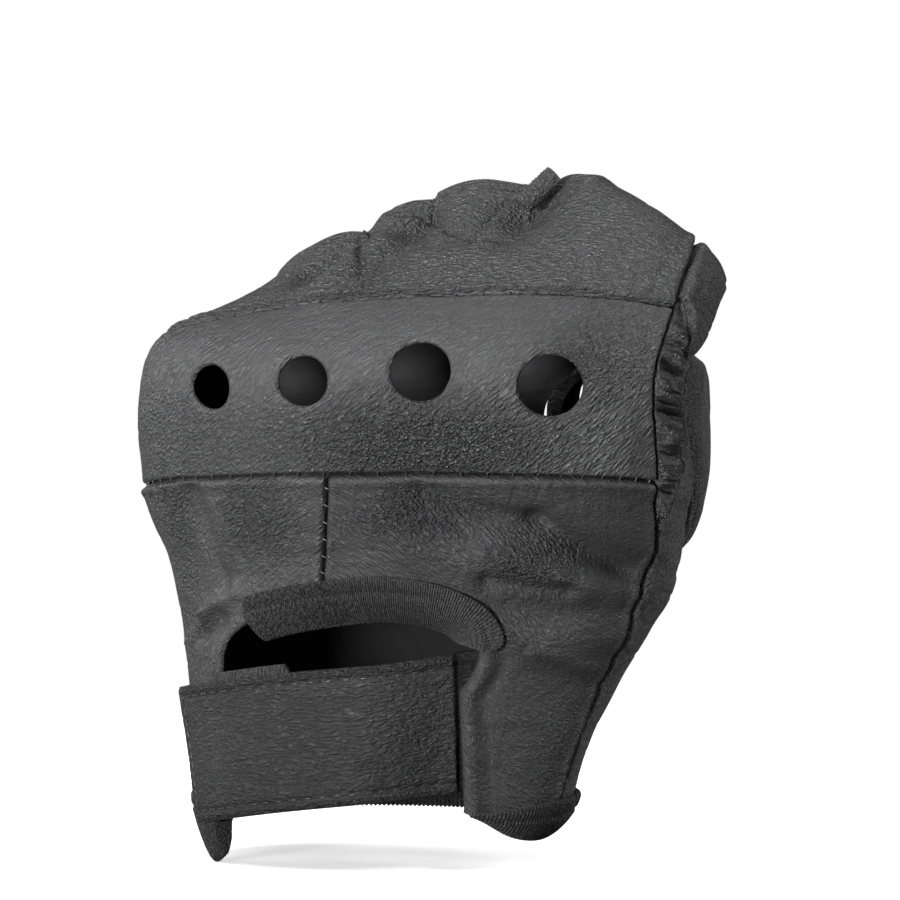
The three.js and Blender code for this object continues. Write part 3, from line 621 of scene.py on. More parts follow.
def flesh_material():
    """The napped inner side of the leather."""
    material, tree, shader = new_material("leather_inside", (0.011, 0.011, 0.0115), 0.92,
                                          Specular_IOR_Level=0.2)
    k = Nodes(tree)
    nap = k.noise(900, 4, 0.7).outputs["Fac"]
    patches = k.noise(70, 3, 0.6).outputs["Fac"]
    k.link(k.mix(k.math("ADD", k.math("MULTIPLY", nap, 0.5), k.math("MULTIPLY", patches, 0.5)),
                 (0.006, 0.006, 0.0065), (0.017, 0.017, 0.018)), shader.inputs["Base Color"])
    k.link(k.bump(nap, 0.5, 0.0003), shader.inputs["Normal"])
    return material


def knit_material():
    """Elastic knit: tiny loops, with the ribs themselves in the mesh."""
    material, tree, shader = new_material("ribbed_knit", (0.008, 0.008, 0.0085), 0.9, Sheen_Weight=0.04,
                                          Sheen_Roughness=0.5, Specular_IOR_Level=0.25)
    k = Nodes(tree)
    loops = k.spread(k.cells(1700, feature="F1"), 0.1, 0.75, 1.0, 0.0)
    fibres = k.noise(3800, 3, 0.8).outputs["Fac"]
    height = k.math("MULTIPLY_ADD", loops, 0.7, k.math("MULTIPLY", fibres, 0.5))
    k.link(k.bump(height, 1.0, 0.0005), shader.inputs["Normal"])
    patches = k.noise(60, 3, 0.6).outputs["Fac"]
    tone = k.math("ADD", k.math("MULTIPLY", loops, 0.6), k.math("MULTIPLY", patches, 0.4))
    k.link(k.mix(tone, (0.002, 0.002, 0.0022), (0.038, 0.038, 0.0395)), shader.inputs["Base Color"])
    return material


def thread_material():
    material, tree, shader = new_material("sewing_thread", (0.012, 0.012, 0.0125), 0.4)
    k = Nodes(tree)
    twist = k.noise(2500, 2, 0.6).outputs["Fac"]
    k.link(k.mix(twist, (0.006, 0.006, 0.0065), (0.03, 0.03, 0.031)), shader.inputs["Base Color"])
    k.link(k.bump(twist, 0.5, 0.0001), shader.inputs["Normal"])
    return material


grained, wrinkled, creased, strap_leather, smooth_leather = (leather_material(*row) for row in (
    ("grained_leather", (0.018, 0.018, 0.0188), 0.5, 1100, (0.3, 0.8, 1.2), 0.7),
    ("wrinkled_leather", (0.0165, 0.0165, 0.0173), 0.5, 900, (0.5, 0.8, 1.3), 0.05),
    ("creased_leather", (0.018, 0.018, 0.0188), 0.4, 1200),
    # The strap's leather is darker than the rest: painted shade for its low place, where less light falls.
    ("strap_leather", (0.013, 0.013, 0.0136), 0.55, 1000, (0.35, 0.8, 1.4), 0.08, 0.26),
    ("smooth_leather", (0.0175, 0.0175, 0.0183), 0.5, 1100, (0.3, 0.8, 1.2), -0.75, 0.27),
))
flesh_side = flesh_material()
knit = knit_material()
thread = thread_material()


# Knuckle band

def in_plane(phi, station, centre):
    """Offsets in millimetres from a centre, in the plane of the surface there."""
    along, around = slopes(*centre)
    away = surface(phi, station) - surface(*centre)
    e1 = unit(around)
    e2 = unit(along - (along @ e1) * e1)
    return away @ e1, away @ e2


def knuckle_band():
    rows, columns = 110, 320
    down, across = grid(rows, columns)
    station = lerp(LOWER_SEAM + SEAM, UPPER_SEAM - SEAM, lerp(down, smoothstep(down, 0, 1), 0.45))
    phi = lerp(radial_edge(station), ulnar_edge(station), across)
    keep = np.ones((rows - 1, columns - 1), bool)
    rim = np.zeros((rows, columns))
    for x, z, radius in HOLES:
        centre = on_back(x, z)
        distance = np.hypot(*in_plane(phi, station, centre))
        cell = (distance[1:, 1:] + distance[:-1, 1:] + distance[1:, :-1] + distance[:-1, :-1]) / 4
        hole = cell < radius
        edge = border(~hole) & (distance < radius + 3)
        keep &= ~hole
        eased = radius + HOLE_BEVEL + np.maximum(distance - radius, 0.12) * (1 - HOLE_BEVEL / HOLE_EASE)
        target = np.where(edge, radius + HOLE_BEVEL, np.where(distance < radius + HOLE_EASE, eased, distance))
        for _ in range(3):
            scale = target / np.maximum(np.hypot(*in_plane(phi, station, centre)), 0.1)
            phi = centre[0] + (phi - centre[0]) * scale
            station = centre[1] + (station - centre[1]) * scale
        rim = np.maximum(rim, edge)
        halo = np.maximum(0, np.hypot(*in_plane(phi, station, centre)) - radius)
        rim = np.maximum(rim, 0.55 * bump(halo, 0.7) * (1 - edge))
    per_station, per_phi = (np.linalg.norm(v, axis=-1) for v in slopes(phi, station))
    round_mm = phi * per_phi
    low = (station - LOWER_SEAM) * per_station
    high = (UPPER_SEAM - station) * per_station
    lift = sewn(low, round_mm, 0.1, 1.3) + sewn(high, round_mm, 0.0, 1.5)
    lift += sewn_along(phi, station, per_phi, side_seams(station), 0.35, 1.2)
    p = surface(phi, station)
    lift += 0.28 * noise(p, 13) + 0.1 * noise(p, 5)
    lift -= 0.1 * smoothstep(creases(phi, station, 6, 2.2), 0.86, 1.0)
    # Worn, glossier places with painted highlights, and painted shade along the grooves of the two seams.
    wear_and_painted_light = wear_and_highlight_spots(p, ((22, 70, 24, 9, 0.95), (53, 87, 9, 8, 0.9), (-32, 0, 16, math.inf, 0.25)))
    wear_and_painted_light = np.clip(wear_and_painted_light, 0, 1) - 0.9 * bump(np.minimum(low, high), 0.5)
    leather_sheet("knuckle_band_leather", phi, station, lift, LEATHER, ["knuckle_band"], keep=keep, wear_and_painted_light=wear_and_painted_light,
                  rounded=rim)


# Backs of the fingers and the palm

def finger_end(ends, share):
    """Smooth curve through the stations of a finger's end."""
    at = share * (len(ends) - 1)
    i = min(int(at), len(ends) - 2)
    return lerp(ends[i], ends[i + 1], float(smoothstep(at - i, 0, 1)))


def finger_columns(side, scale=1.0):
    """For each column of the finger region: the notches on its finger's two sides, its share of the way
    between them, the station where it ends, and whether the cell after it belongs to a finger."""
    edges = []
    notches = [None, *(notch for notch, *_ in NOTCHES.values()), None]
    for f, (finger, ends, count) in enumerate(FINGERS):
        if side < 0 and finger == "index":
            ends = PALM_INDEX_ENDS
        count = max(4, round(count * scale))
        for n in range(count + 1):
            edges.append((notches[f], notches[f + 1], n / count, finger_end(ends, n / count), n < count))
    return edges


def finger_sheet(name, side, stations, tab_rows, first, last, scale, detail, nodes, hole=None, material=None):
    """A panel that splits into four finger tabs past the crotch."""
    edges = finger_columns(side, scale)
    rows = len(stations) + tab_rows
    station = np.zeros((rows, len(edges)))
    angle = np.zeros_like(station)
    to_slit = np.full_like(station, FAR)
    for j, (before, after, share, end, _) in enumerate(edges):
        s = np.concatenate([stations, lerp(CROTCH, end, np.arange(1, tab_rows + 1) / tab_rows)])
        start = before + SLIT if before is not None else first(s)
        stop = after - SLIT if after is not None else last(s)
        angle[:, j] = lerp(start, stop, share)
        station[:, j] = s
        gaps = [np.full(rows, FAR)]
        if before is not None:
            gaps.append(angle[:, j] - start)
        if after is not None:
            gaps.append(stop - angle[:, j])
        to_slit[:, j] = np.min(gaps, axis=0)
    keep = np.ones((rows - 1, len(edges) - 1), bool)
    own = np.array([cell for *_, cell in edges[:-1]])
    keep[len(stations) - 1:] = own
    phi = side * angle
    if hole is not None:
        phi, station, keep = hole(phi, station, keep)
    per_station, per_phi = (np.linalg.norm(v, axis=-1) for v in slopes(phi, station))
    ends = np.array([end for *_, end, _ in edges])
    to_end = (ends - station) * per_station
    share = np.array([share for _, _, share, _, _ in edges]) + 0 * station
    lift, wear_and_painted_light = detail(phi, station, per_phi, per_station, to_slit * per_phi, to_end, share)
    rounded = np.zeros_like(phi)
    rounded[-1] = 1
    leather_sheet(name, phi, station, lift, LEATHER, nodes, keep=keep, wear_and_painted_light=wear_and_painted_light, rounded=rounded,
                  materials=[material or grained, flesh_side])


def finger_tab_shape(station, to_slit, to_end, share):
    """Fingers stand round between their valleys, and their ends are turned over and sewn."""
    bulge = 0.3 * np.sin(math.pi * share) ** 0.8 * smoothstep(station, 6.5, 7.3)
    slit_edge = -0.5 * bump(np.maximum(to_slit, 0), 0.5) * smoothstep(station, 6.9, 7.05)
    hem = 0.25 * (1 - smoothstep(to_end, 2.4, 2.9)) - 0.2 * bump(to_end - 2.6, 0.4)
    return bulge + slit_edge + hem


def finger_back_detail(phi, station, per_phi, per_station, to_slit, to_end, share):
    p = surface(phi, station)
    lift = finger_tab_shape(station, to_slit, to_end, share)
    to_seam = (station - UPPER_SEAM) * per_station
    lift += sewn(to_seam, phi * per_phi, 0.55, 1.1)
    lift += sewn_along(phi, station, per_phi, side_seams(station), 0.4, 1.2)
    lift += 0.35 * noise(p, 9) + 0.14 * noise(p, 4)
    lift -= 0.2 * smoothstep(creases(phi, station, 7, 2.4, 3.3), 0.8, 1.0)
    # Raised places are worn and lighter, partly a painted highlight; the upper seam's groove gets painted
    # shade.
    wear_and_painted_light = 0.45 + 0.25 * smoothstep(lift, 0.4, 1.2) + wear_and_highlight_spots(p, ((8, 100, 6, 5, 0.25),))
    return lift, wear_and_painted_light - 0.9 * bump(to_seam, 0.35)


def finger_back():
    stations = np.linspace(UPPER_SEAM + SEAM, CROTCH, 52)
    finger_sheet("finger_back_leather", 1, stations, 34, radial_edge, ulnar_edge, 1.25, finger_back_detail,
                 ["finger_back"], material=wrinkled)


# Back panels below the knuckle band, with the arched opening

def bezier(a, b, c, d, count):
    t = np.linspace(0, 1, count, endpoint=False)[:, None]
    a, b, c, d = (np.array(v, float) for v in (a, b, c, d))
    return (1 - t) ** 3 * a + 3 * (1 - t) ** 2 * t * b + 3 * (1 - t) * t * t * c + t ** 3 * d


def opening_parts(count=60):
    """The outline of the arched opening in the back view, in its four parts, from the little finger side."""
    o = OPENING
    bulge_right = o["rightBulgeX"]
    left_low, left_top = (o["leftX"], o["bottomZ"]), (o["leftX"], o["sideTop"])
    right_low, right_top = (o["rightX"], o["bottomZ"]), (o["rightX"], o["sideTop"])
    crown = (o["crownX"], o["crownZ"])
    step = np.linspace(0, 1, count, endpoint=False)[:, None]

    def line(p, q):
        return lerp(np.array(p), np.array(q), step)

    return [
        line(left_low, left_top),
        bezier(left_top, (o["leftX"], o["shoulderZ"]), (o["leftBulgeX"], o["crownZ"] - 3), crown, count),
        bezier(crown, (bulge_right, o["crownZ"]), (bulge_right + 3, o["shoulderZ"]), right_top, count),
        line(right_top, right_low),
    ]


opening_line = np.concatenate([*opening_parts(), [(OPENING["rightX"], OPENING["bottomZ"])]])
lengths = np.concatenate([[0], np.cumsum(np.linalg.norm(np.diff(opening_line, axis=0), axis=1))])


def opening_point(share):
    """The point of the opening's outline at a share of its length."""
    at = np.asarray(share) * lengths[-1]
    return np.stack([np.interp(at, lengths, opening_line[:, k]) for k in (0, 1)], -1)


def to_opening(x, z):
    """Nearest point of the opening's outline, and how far outside it the place is."""
    flat = np.stack([np.ravel(x), np.ravel(z)], -1)
    best = np.full(len(flat), 1e9)
    nearest = np.zeros((len(flat), 2))
    for a, b in zip(opening_line[:-1:2], opening_line[2::2]):
        ab = b - a
        t = np.clip(((flat - a) @ ab) / (ab @ ab), 0, 1)
        q = a + t[:, None] * ab
        distance = np.linalg.norm(flat - q, axis=1)
        closer = distance < best
        best[closer] = distance[closer]
        nearest[closer] = q[closer]
    inside = inside_opening(x, z)
    return nearest.reshape(*np.shape(x), 2), np.where(inside, -1, 1) * best.reshape(np.shape(x))


def inside_opening(x, z):
    """Whether places of the back view lie within the opening."""
    x, z = np.asarray(x), np.asarray(z)
    count = np.zeros(x.shape, int)
    ends = np.concatenate([opening_line, opening_line[:1]])
    for (xa, za), (xb, zb) in zip(ends[:-1], ends[1:]):
        if za == zb:
            continue
        crosses = (za > z) != (zb > z)
        count += crosses & (x < xa + (z - za) / (zb - za) * (xb - xa))
    return count % 2 == 1


def back_panel(name, node, material, first, last, columns, spots):
    """A panel under the knuckle band, cut out along the opening."""
    share, across = grid(150, columns)
    share = lerp(share, 1 - (1 - share) ** 2, 0.45)
    station = share * (LOWER_SEAM - SEAM)
    phi = lerp(first(station), last(station), across)
    station = lerp(hem(phi), LOWER_SEAM - SEAM, share)
    p = surface(phi, station)
    middle = (p[1:, 1:] + p[:-1, 1:] + p[1:, :-1] + p[:-1, :-1]) / 4
    keep = ~inside_opening(middle[..., 0], middle[..., 2])
    nearest, away = to_opening(p[..., 0], p[..., 2])
    edge = border(keep) & (np.abs(away) < 1.2)
    edge[0] = edge[-1] = False
    phi_new, station_new = on_back(nearest[edge][:, 0], nearest[edge][:, 1])
    phi[edge], station[edge] = phi_new, station_new
    p = surface(phi, station)
    _, away = to_opening(p[..., 0], p[..., 2])
    away = np.maximum(away, 0)
    per_station, per_phi = (np.linalg.norm(v, axis=-1) for v in slopes(phi, station))
    to_seam = (LOWER_SEAM - station) * per_station
    lift = sewn(to_seam, phi * per_phi, 0.4, 1.2)
    lift += sewn_along(phi, station, per_phi, side_seams(station), 0.5, 1.2)
    lift += sewn_along(phi, station, per_phi, [centre_seam(station)], 0.25, 1.1)
    side_edge = 1 - smoothstep(p[..., 2], 30, 38)
    lift += side_edge * (1.1 * bump(away - 1.5, 1.2) - 0.3 * bump(away - 4.2, 1.0))
    lift += 0.45 * noise(p, (14, 14, 10)) + 0.16 * noise(p, 5)
    lift -= 0.12 * smoothstep(creases(phi, station, 5, 3, 7.7), 0.85, 1.0)
    # Worn ovals and raised places are lighter, with painted highlights; the seams' grooves get painted shade.
    wear_and_painted_light = np.clip(wear_and_highlight_spots(p, spots) + 0.15 * smoothstep(lift, 0.4, 1.0), 0, 1)
    wear_and_painted_light -= 0.8 * bump(to_seam, 0.4) + 0.8 * bump((phi - centre_seam(station)) * per_phi, 0.4)
    leather_sheet(name, phi, station, lift, LEATHER, [node], keep=keep, wear_and_painted_light=wear_and_painted_light, rounded=edge * 1.0,
                  materials=[material, flesh_side])


def back_panels():
    # The last entry of each gives ovals of wear with painted highlights.
    back_panel("back_thumb_side_leather", "back_thumb_side", smooth_leather,
               radial_edge, lambda s: centre_seam(s) - side_gap(s), 150,
               ((37, 50, 7, 3.5, 0.9), (18, 58, 12, 5, 0.6), (33, 38, 8, 3, 0.35), (40, 14, 8, 9, 0.3)))
    back_panel("back_little_side_leather", "back_little_side", grained,
               lambda s: centre_seam(s) + side_gap(s), ulnar_edge, 140,
               ((-12, 58, 9, 8, 0.55), (-34, 0, 7, math.inf, 0.4)))


# Thumb

def thumb_root(turn, grow=0.0):
    size = 1 + grow / THUMB["root_radius"]
    return (THUMB["phi"] + THUMB["over_phi"] * size * np.cos(turn),
            THUMB["station"] + THUMB["over_station"] * size * np.sin(turn))


def thumb_point(u, turn, inset):
    """A point of the thumb tube, from the oval on the palm at u = 0 to the round end at u = 1."""
    aim = unit(np.array(THUMB["aim"], float))
    across = np.array(THUMB["side"], float)
    across = unit(across - (across @ aim) * aim)
    up = np.cross(across, aim)
    phi, station = thumb_root(turn, -np.asarray(inset))
    out = normal(phi, station) * THUMB["root_pull"]
    radius = (THUMB["end_radius"] - inset)[..., None]
    tip = np.array(THUMB["end"], float) + across * radius * np.cos(turn)[..., None]
    tip = tip + up * radius * np.sin(turn)[..., None]
    u = u[..., None]
    blend = u * u * (3 - 2 * u)
    start = lifted(phi, station)
    return start + (tip - start) * blend + out * u * (1 - u) ** 2 - aim * u * u * (1 - u) * THUMB["end_pull"]


def thumb_stall():
    rows, columns = 96, 200
    u, _ = grid(rows, columns)
    turn = np.linspace(0, 2 * math.pi, columns, endpoint=False) + np.zeros((rows, 1))
    along = u * THUMB["length"]
    to_end = THUMB["length"] - along
    flat = np.stack([np.cos(turn) * 16, np.sin(turn) * 16, along], -1)
    wrinkle = 0.6 * noise(flat, (9, 9, 4.5)) + 0.25 * noise(flat, (5, 5, 2.2))
    wrinkle -= 0.35 * smoothstep(1 - np.abs(noise(flat + 40, (12, 12, 3.2))), 0.78, 1.0)
    hem = 0.4 * (1 - smoothstep(to_end, 3.0, 3.6)) - 0.25 * bump(to_end - 3.3, 0.5)
    seam = sewn(along, turn * 18, 0.5, 0.9)
    lift = wrinkle * smoothstep(along, 0, 4) + hem + seam * 0.7
    curl = np.zeros_like(u)
    curl[-1] = 0.36 * LEATHER
    outer = thumb_point(u, turn, -lift + curl)
    inner = thumb_point(u, turn, LEATHER - lift - curl)
    points, faces, inside, used = closed_sheet(outer, inner, wrap=True)
    # Raised wrinkles are worn and lighter: wear and painted highlight.
    wear_and_painted_light = np.tile((0.35 + 0.3 * smoothstep(wrinkle, 0, 0.6)).reshape(-1), 2)[used]
    add_mesh("thumb_stall_leather", points, faces, [creased, flesh_side], ["thumb_stall"],
             wear_and_painted_light, inside)


def from_thumb(phi, station):
    """How far a place is from the thumb's middle, as a share of the oval where the stall is sewn in."""
    return np.hypot((phi - THUMB["phi"]) / THUMB["over_phi"],
                    (station - THUMB["station"]) / THUMB["over_station"])


def palm():
    def hole(phi, station, keep):
        r = from_thumb(phi, station) / (1 + 2 * GAP / THUMB["root_radius"])
        cell = (r[1:, 1:] + r[:-1, 1:] + r[1:, :-1] + r[:-1, :-1]) / 4
        edge = border(cell >= 1) & (np.abs(r - 1) < 0.1)
        keep &= cell >= 1
        scale = np.where(edge, 1 / np.maximum(r, 0.1), 1)
        return (THUMB["phi"] + (phi - THUMB["phi"]) * scale,
                THUMB["station"] + (station - THUMB["station"]) * scale, keep)

    def detail(phi, station, per_phi, per_station, to_slit, to_end, share):
        p = surface(phi, station)
        lift = finger_tab_shape(station, to_slit, to_end, share)
        lift += 2.3 * bump(phi + 14 * DEG, 24 * DEG) * smoothstep(station, 5.0, 6.1)
        lift -= 3.2 * bump(phi + 10 * DEG, 30 * DEG) * smoothstep(station, 6.85, 7.75)
        radial, ulnar = side_seams(station)
        seams = (radial - gusset_width(station), ulnar - 2 * math.pi)
        lift += sewn_along(phi, station, per_phi, seams, 0.45, 1.2)
        lift += sewn(np.maximum(from_thumb(phi, station) - 1, 0) * THUMB["root_radius"], None, 0.45, 1.1)
        lift += 0.6 * noise(p, (12, 12, 7)) + 0.2 * noise(p, 4.5)
        lift -= 0.3 * smoothstep(creases(phi, station, 11, 3.6, 5.1), 0.82, 1.0) * (1 - bump(station, 1.2))
        # Raised places are worn and lighter: wear and painted highlight.
        return lift, 0.3 + 0.2 * smoothstep(lift, 0.3, 1.0)

    finger_sheet("palm_leather", -1, np.linspace(0, CROTCH, 190), 20,
                 lambda s: gusset_width(s) + side_gap(s) - side_seam("radial", s),
                 lambda s: 2 * math.pi - side_seam("ulnar", s) - side_gap(s),
                 1.0, detail, ["palm"], hole=hole)


def side_gusset():
    """The strip gathered on elastic beside the index knuckle: deep uneven folds across it."""
    share, across = grid(260, 34, 0.015, 0.985)
    station = lerp(GUSSET["from"], GUSSET["to"], share)
    edge = side_seam("radial", station) - side_gap(station)
    width = np.maximum(gusset_width(station) - 2 * side_gap(station), 0.02)
    phi = edge - width * across
    body = 1.3 * np.sin(math.pi * share) ** 0.3 * np.sin(math.pi * across) ** 0.4
    flat = np.stack([across * 5, share * 44, 0 * share + 2.2], -1)
    gather = 0.75 * np.sin(2 * math.pi * 6 * share + across + 1.6 * noise(flat, 9))
    gather += 0.75 * noise(flat, (3.5, 2.6, 1)) + 0.3 * noise(flat, (2.2, 1.2, 1))
    gather -= 0.5 * smoothstep(1 - np.abs(noise(flat + 9, (6, 2.2, 1))), 0.75, 1)
    frill = 0.9 * bump(across - 0.93, 0.1) * (0.6 + 0.4 * np.sin(2 * math.pi * 9 * share + 1))
    lift = body * gather + frill * np.sin(math.pi * share) ** 0.5 + 0.3
    # The folds' ridges are lighter and their valleys darker: painted highlight and painted shade, with wear
    # on the ridges.
    wear_and_painted_light = -0.35 + 1.3 * smoothstep(lift, -0.4, 1.3)
    leather_sheet("side_gusset_leather", phi, station, lift, GUSSET["wall"], ["side_gusset"],
                  [creased, flesh_side], wear_and_painted_light=wear_and_painted_light)


def fourchettes():
    """The gusset between two fingers runs in along one finger's wall, round the crotch and out again."""
    for f, (between, (notch, *_)) in enumerate(NOTCHES.items()):
        near, far = FINGERS[f][1][-1], FINGERS[f + 1][1][0]
        t, down = grid(61, 25, -1)
        near = lerp(near, PALM_INDEX_ENDS[-1], down) if f == 0 else near
        end = np.where(t < 0, near, far) - 0.05
        station = lerp(CROTCH - 0.05, end, np.abs(t))
        margin = LEATHER + GAP + 0.25

        def place(inset):
            opened = 0.02 + inset / section(station)["halfWidth"]
            phi = notch + np.clip(t * 4, -1, 1) * opened
            top, bottom = lifted(phi, station, -margin), lifted(-phi, station, -margin)
            deep = bump(t, 0.15) * inset
            p = top + (bottom - top) * down[..., None]
            wrinkle = 0.25 * noise(p, 3.5) * np.sin(math.pi * down)
            return p + deep[..., None] * (0, -0.75, -0.66) + wrinkle[..., None] * (1, 0, 0)

        points, faces, _, used = closed_sheet(place(0.35), place(1.35))
        add_mesh("fourchette_" + between + "_leather", points, faces, [creased],
                 ["fourchette_" + between], np.full(len(used), 0.2))


# Knitted bindings

def rounded_ring(ring, times=2):
    """Cuts the corners of a closed ring of points."""
    ring = np.array(ring, float)
    for _ in range(times):
        after = np.roll(ring, -1, axis=0)
        ring = np.stack([0.75 * ring + 0.25 * after, 0.25 * ring + 0.75 * after], 1).reshape(-1, 2)
    return ring


def binding(name, node, steps, flap, overhang, ribs, place):
    """A ribbed knit binding folded over an edge. place(along, reach, raise) gives points on it."""
    over = 0.45
    under = -LEATHER - over
    ring = rounded_ring([
        (flap, over), (flap / 2, over), (0, over), (-0.8, 0.2), (-0.8, -LEATHER), (0, under),
        (flap * 0.8, under), (flap * 0.8, under - KNIT), (0, under - KNIT), (-overhang, -LEATHER),
        (-overhang, 0), (0, over + KNIT), (flap / 2, over + KNIT), (flap, over + KNIT),
    ])
    along = np.linspace(0, 1, steps)[:, None] + np.zeros((1, len(ring)))
    centre = ring.mean(axis=0)
    out = unit(ring - np.roll(ring, 3, axis=0))
    out = np.stack([-out[:, 1], out[:, 0]], -1)
    out *= np.sign(((ring - centre) * out).sum(1))[:, None]
    outer_side = (ring[:, 1] > 0.9) | (ring[:, 0] < -1.5)
    height = 0.17 * np.cos(2 * math.pi * ribs * along) * outer_side
    stitched = 0.4 * bump(ring[:, 0] - (flap - 2.6), 0.4) * (ring[:, 1] > 0.9)
    reach = ring[:, 0] + out[:, 0] * height
    lift = ring[:, 1] + out[:, 1] * height - stitched
    points = place(along, reach, lift)
    faces = tube_faces(np.arange(points[..., 0].size).reshape(points.shape[:2]))
    mend(add_mesh(name, points.reshape(-1, 3), faces, [knit], [node], sharp=60))


def opening_place(along, reach, raised):
    """A place by the opening: along its outline, out from it and above the leather."""
    t = lerp(OPENING["bindFrom"], OPENING["bindTo"], along)
    p = opening_point(t)
    tangent = unit(opening_point(t + 0.01) - opening_point(t - 0.01))
    crown = smoothstep(p[..., 1], OPENING["sideTop"], OPENING["crownZ"] - 4)
    scale = np.where(reach < 0, lerp(0.35, 1, crown), lerp(0.75, 1, crown))
    from_end = np.minimum(along, 1 - along) * OPENING["bindLength"]
    rounding = np.sqrt(1 - (1 - np.clip(from_end / 3.2, 0, 1)) ** 2)
    reach = lerp(0.2, reach, lerp(0.15, 1, rounding))
    raised = lerp(raised - 0.6, raised, rounding)
    reach = reach * scale
    phi, station = on_back(p[..., 0] - tangent[..., 1] * reach, p[..., 1] + tangent[..., 0] * reach)
    return lifted(phi, station, raised)


def hem(phi):
    """The station of the leather's lower edge."""
    return HEM_RISE["stations"] * bump(phi - HEM_RISE["phi"], HEM_RISE["width"])


def cuff_hang(phi):
    hang = np.ones(np.shape(phi))
    for centre, width, depth in CUFF_DIPS:
        away = np.arctan2(np.sin(phi - centre), np.cos(phi - centre))
        hang = hang + depth / CUFF_OVERHANG * bump(away, width)
    return hang


def cuff_place(along, reach, raised):
    """A place by the hem: round the wrist, up from the hem and above the leather."""
    start = phi_at(OPENING["rightX"] + 0.6, 0) + np.zeros((1, 1))
    stop = phi_at(OPENING["leftX"] - 0.6, 0) - 2 * math.pi
    phi = lerp(start, stop, along)
    per_millimetre = 0.5 / (surface(phi, 0.5)[..., 2] - surface(phi, 0)[..., 2])
    hang = np.where(reach < -1, reach * cuff_hang(phi), reach)
    taper = 1 - 0.7 * bump(phi - start[:1, :1], 13 * DEG)
    return lifted(phi, hem(phi) + hang * taper * per_millimetre, raised)


def bindings():
    binding("opening_binding_knit", "opening_binding", 760, 4.6, 4.2, 126, opening_place)
    binding("cuff_binding_knit", "cuff_binding", 900, 3.4, CUFF_OVERHANG, 180, cuff_place)


# Strap

def strap_edge(which, x):
    return STRAP[which] + STRAP["slope"] * x - STRAP["bow"] * x * x


def strap_place(across, along):
    """phi, station and lift of the strap. across runs up, and along runs from its root to its free end."""
    start = phi_at(STRAP["fromX"], 1.2)
    phi = lerp(start, lerp(STRAP["bottomPhi"], STRAP["topPhi"], across), along)
    x = surface(phi, 1.0)[..., 0]
    station = station_at(phi, lerp(strap_edge("bottomZ", x), strap_edge("topZ", x), across))
    tucked = STRAP["tuckedTo"]
    lift = lerp(STRAP["rootRaise"], STRAP["raise"], smoothstep(tucked - x, 0, tucked - STRAP["fullFrom"]))
    return phi, station, lift


def wrist_strap():
    across, along = grid(96, 260)
    phi, station, lift = strap_place(across, along)
    p = surface(phi, station)
    edge = np.minimum(np.minimum(across, 1 - across) * STRAP["height"], (1 - along) * STRAP["length"])
    lift = lift + 0.3 * smoothstep(edge, 0, 1.2) - 0.3
    lift -= 0.3 * bump(edge - STRAP["hem"], 0.5)
    lift += 0.35 * noise(p, 11) + 0.12 * noise(p, 4)
    hidden = smoothstep(p[..., 0], 21.4, 22.2)
    lift -= 0.9 * hidden
    lift -= 0.1 * smoothstep(creases(phi, station, 9, 2.1, 9.4), 0.86, 1.0)
    wall = STRAP["wall"]
    round_edge = 0.4 * bump(edge, 0.5)
    base, n = lifted(phi, station), normal(phi, station)
    outer = base + n * (lift - round_edge)[..., None]
    inner = base + n * (lift - wall + round_edge)[..., None]
    points, faces, inside, used = closed_sheet(outer, inner)
    # Lighter along the edges; the stitch groove and the end tucked under the panel's edge get painted shade.
    wear_and_painted_light = 0.25 + 0.35 * bump(edge - 0.7, 0.6) - 0.7 * bump(edge - STRAP["hem"], 0.4) - hidden
    wear_and_painted_light = np.tile(wear_and_painted_light.reshape(-1), 2)[used]
    add_mesh("wrist_strap_leather", points, faces, [strap_leather, flesh_side], ["wrist_strap"],
             wear_and_painted_light, inside)


def strap_closure():
    across, along = grid(60, 150)
    phi = lerp(phi_at(CLOSURE["fromX"], 1.2), CLOSURE["toPhi"], along)
    x = surface(phi, 1.0)[..., 0]
    shows = smoothstep(x, -26, -23.5) * (1 - smoothstep(x, -10.5, -8))
    low = strap_edge("bottomZ", x) + CLOSURE["bottomMargin"]
    high = strap_edge("topZ", x) + lerp(-1.5, CLOSURE["above"], shows)
    station = station_at(phi, lerp(low, high, across))
    lift = CLOSURE["raise"] + 0.1 * np.cos(2 * math.pi * 36 * along)
    base, n = lifted(phi, station), normal(phi, station)
    outer, inner = (base + n * (lift - depth)[..., None] for depth in (0, CLOSURE["wall"]))
    points, faces, _, _ = closed_sheet(outer, inner)
    add_mesh("strap_closure_fabric", points, faces, [knit], ["strap_closure"])


# Rolled edge between the index and middle fingers

def rolled_edge():
    start = lifted(*ROLL["from"], ROLL["radius"] + 3 * GAP)
    end = lifted(*ROLL["to"], ROLL["radius"] + 3 * GAP)
    middle, axis = (start + end) / 2, unit(end - start)
    side = unit(np.cross(axis, np.array([0, 0, 1.0])))
    up = np.cross(side, axis)
    radius, length = ROLL["radius"], ROLL["length"]
    profile = [(0.0, 0.05), (0.45, 0.1), (0.8, 0.0), (0.95, 0.12), (1.0, 0.4)]
    steps = np.linspace(0.7, length - 0.7, 60)
    body = [(1 + 0.035 * math.sin(s * 9) + 0.02 * math.sin(s * 3.1), s) for s in steps]
    far = [(r, length - back) for r, back in (
        (1.0, 0.4), (0.95, 0.12), (0.8, 0), (0.62, 0.35), (0.5, 1.2), (0.0, 1.3))]
    ring = np.array(profile + body + far)
    turn = np.linspace(0, 2 * math.pi, 40, endpoint=False)
    r = radius * ring[:, 0][:, None] * (1 + 0.03 * np.sin(3 * turn))
    points = (middle + (side * np.cos(turn)[:, None])[None] * r[..., None]
              + (up * np.sin(turn)[:, None])[None] * r[..., None]
              + axis * (ring[:, 1] - length / 2)[:, None, None])
    count = points[..., 0].size
    faces = tube_faces(np.arange(count).reshape(points.shape[:2]), capped=False)
    mend(add_mesh("rolled_edge_leather", points.reshape(-1, 3), faces, [creased],
                  ["rolled_edge"], np.full(count, 0.2)), weld=True)


# Stitches

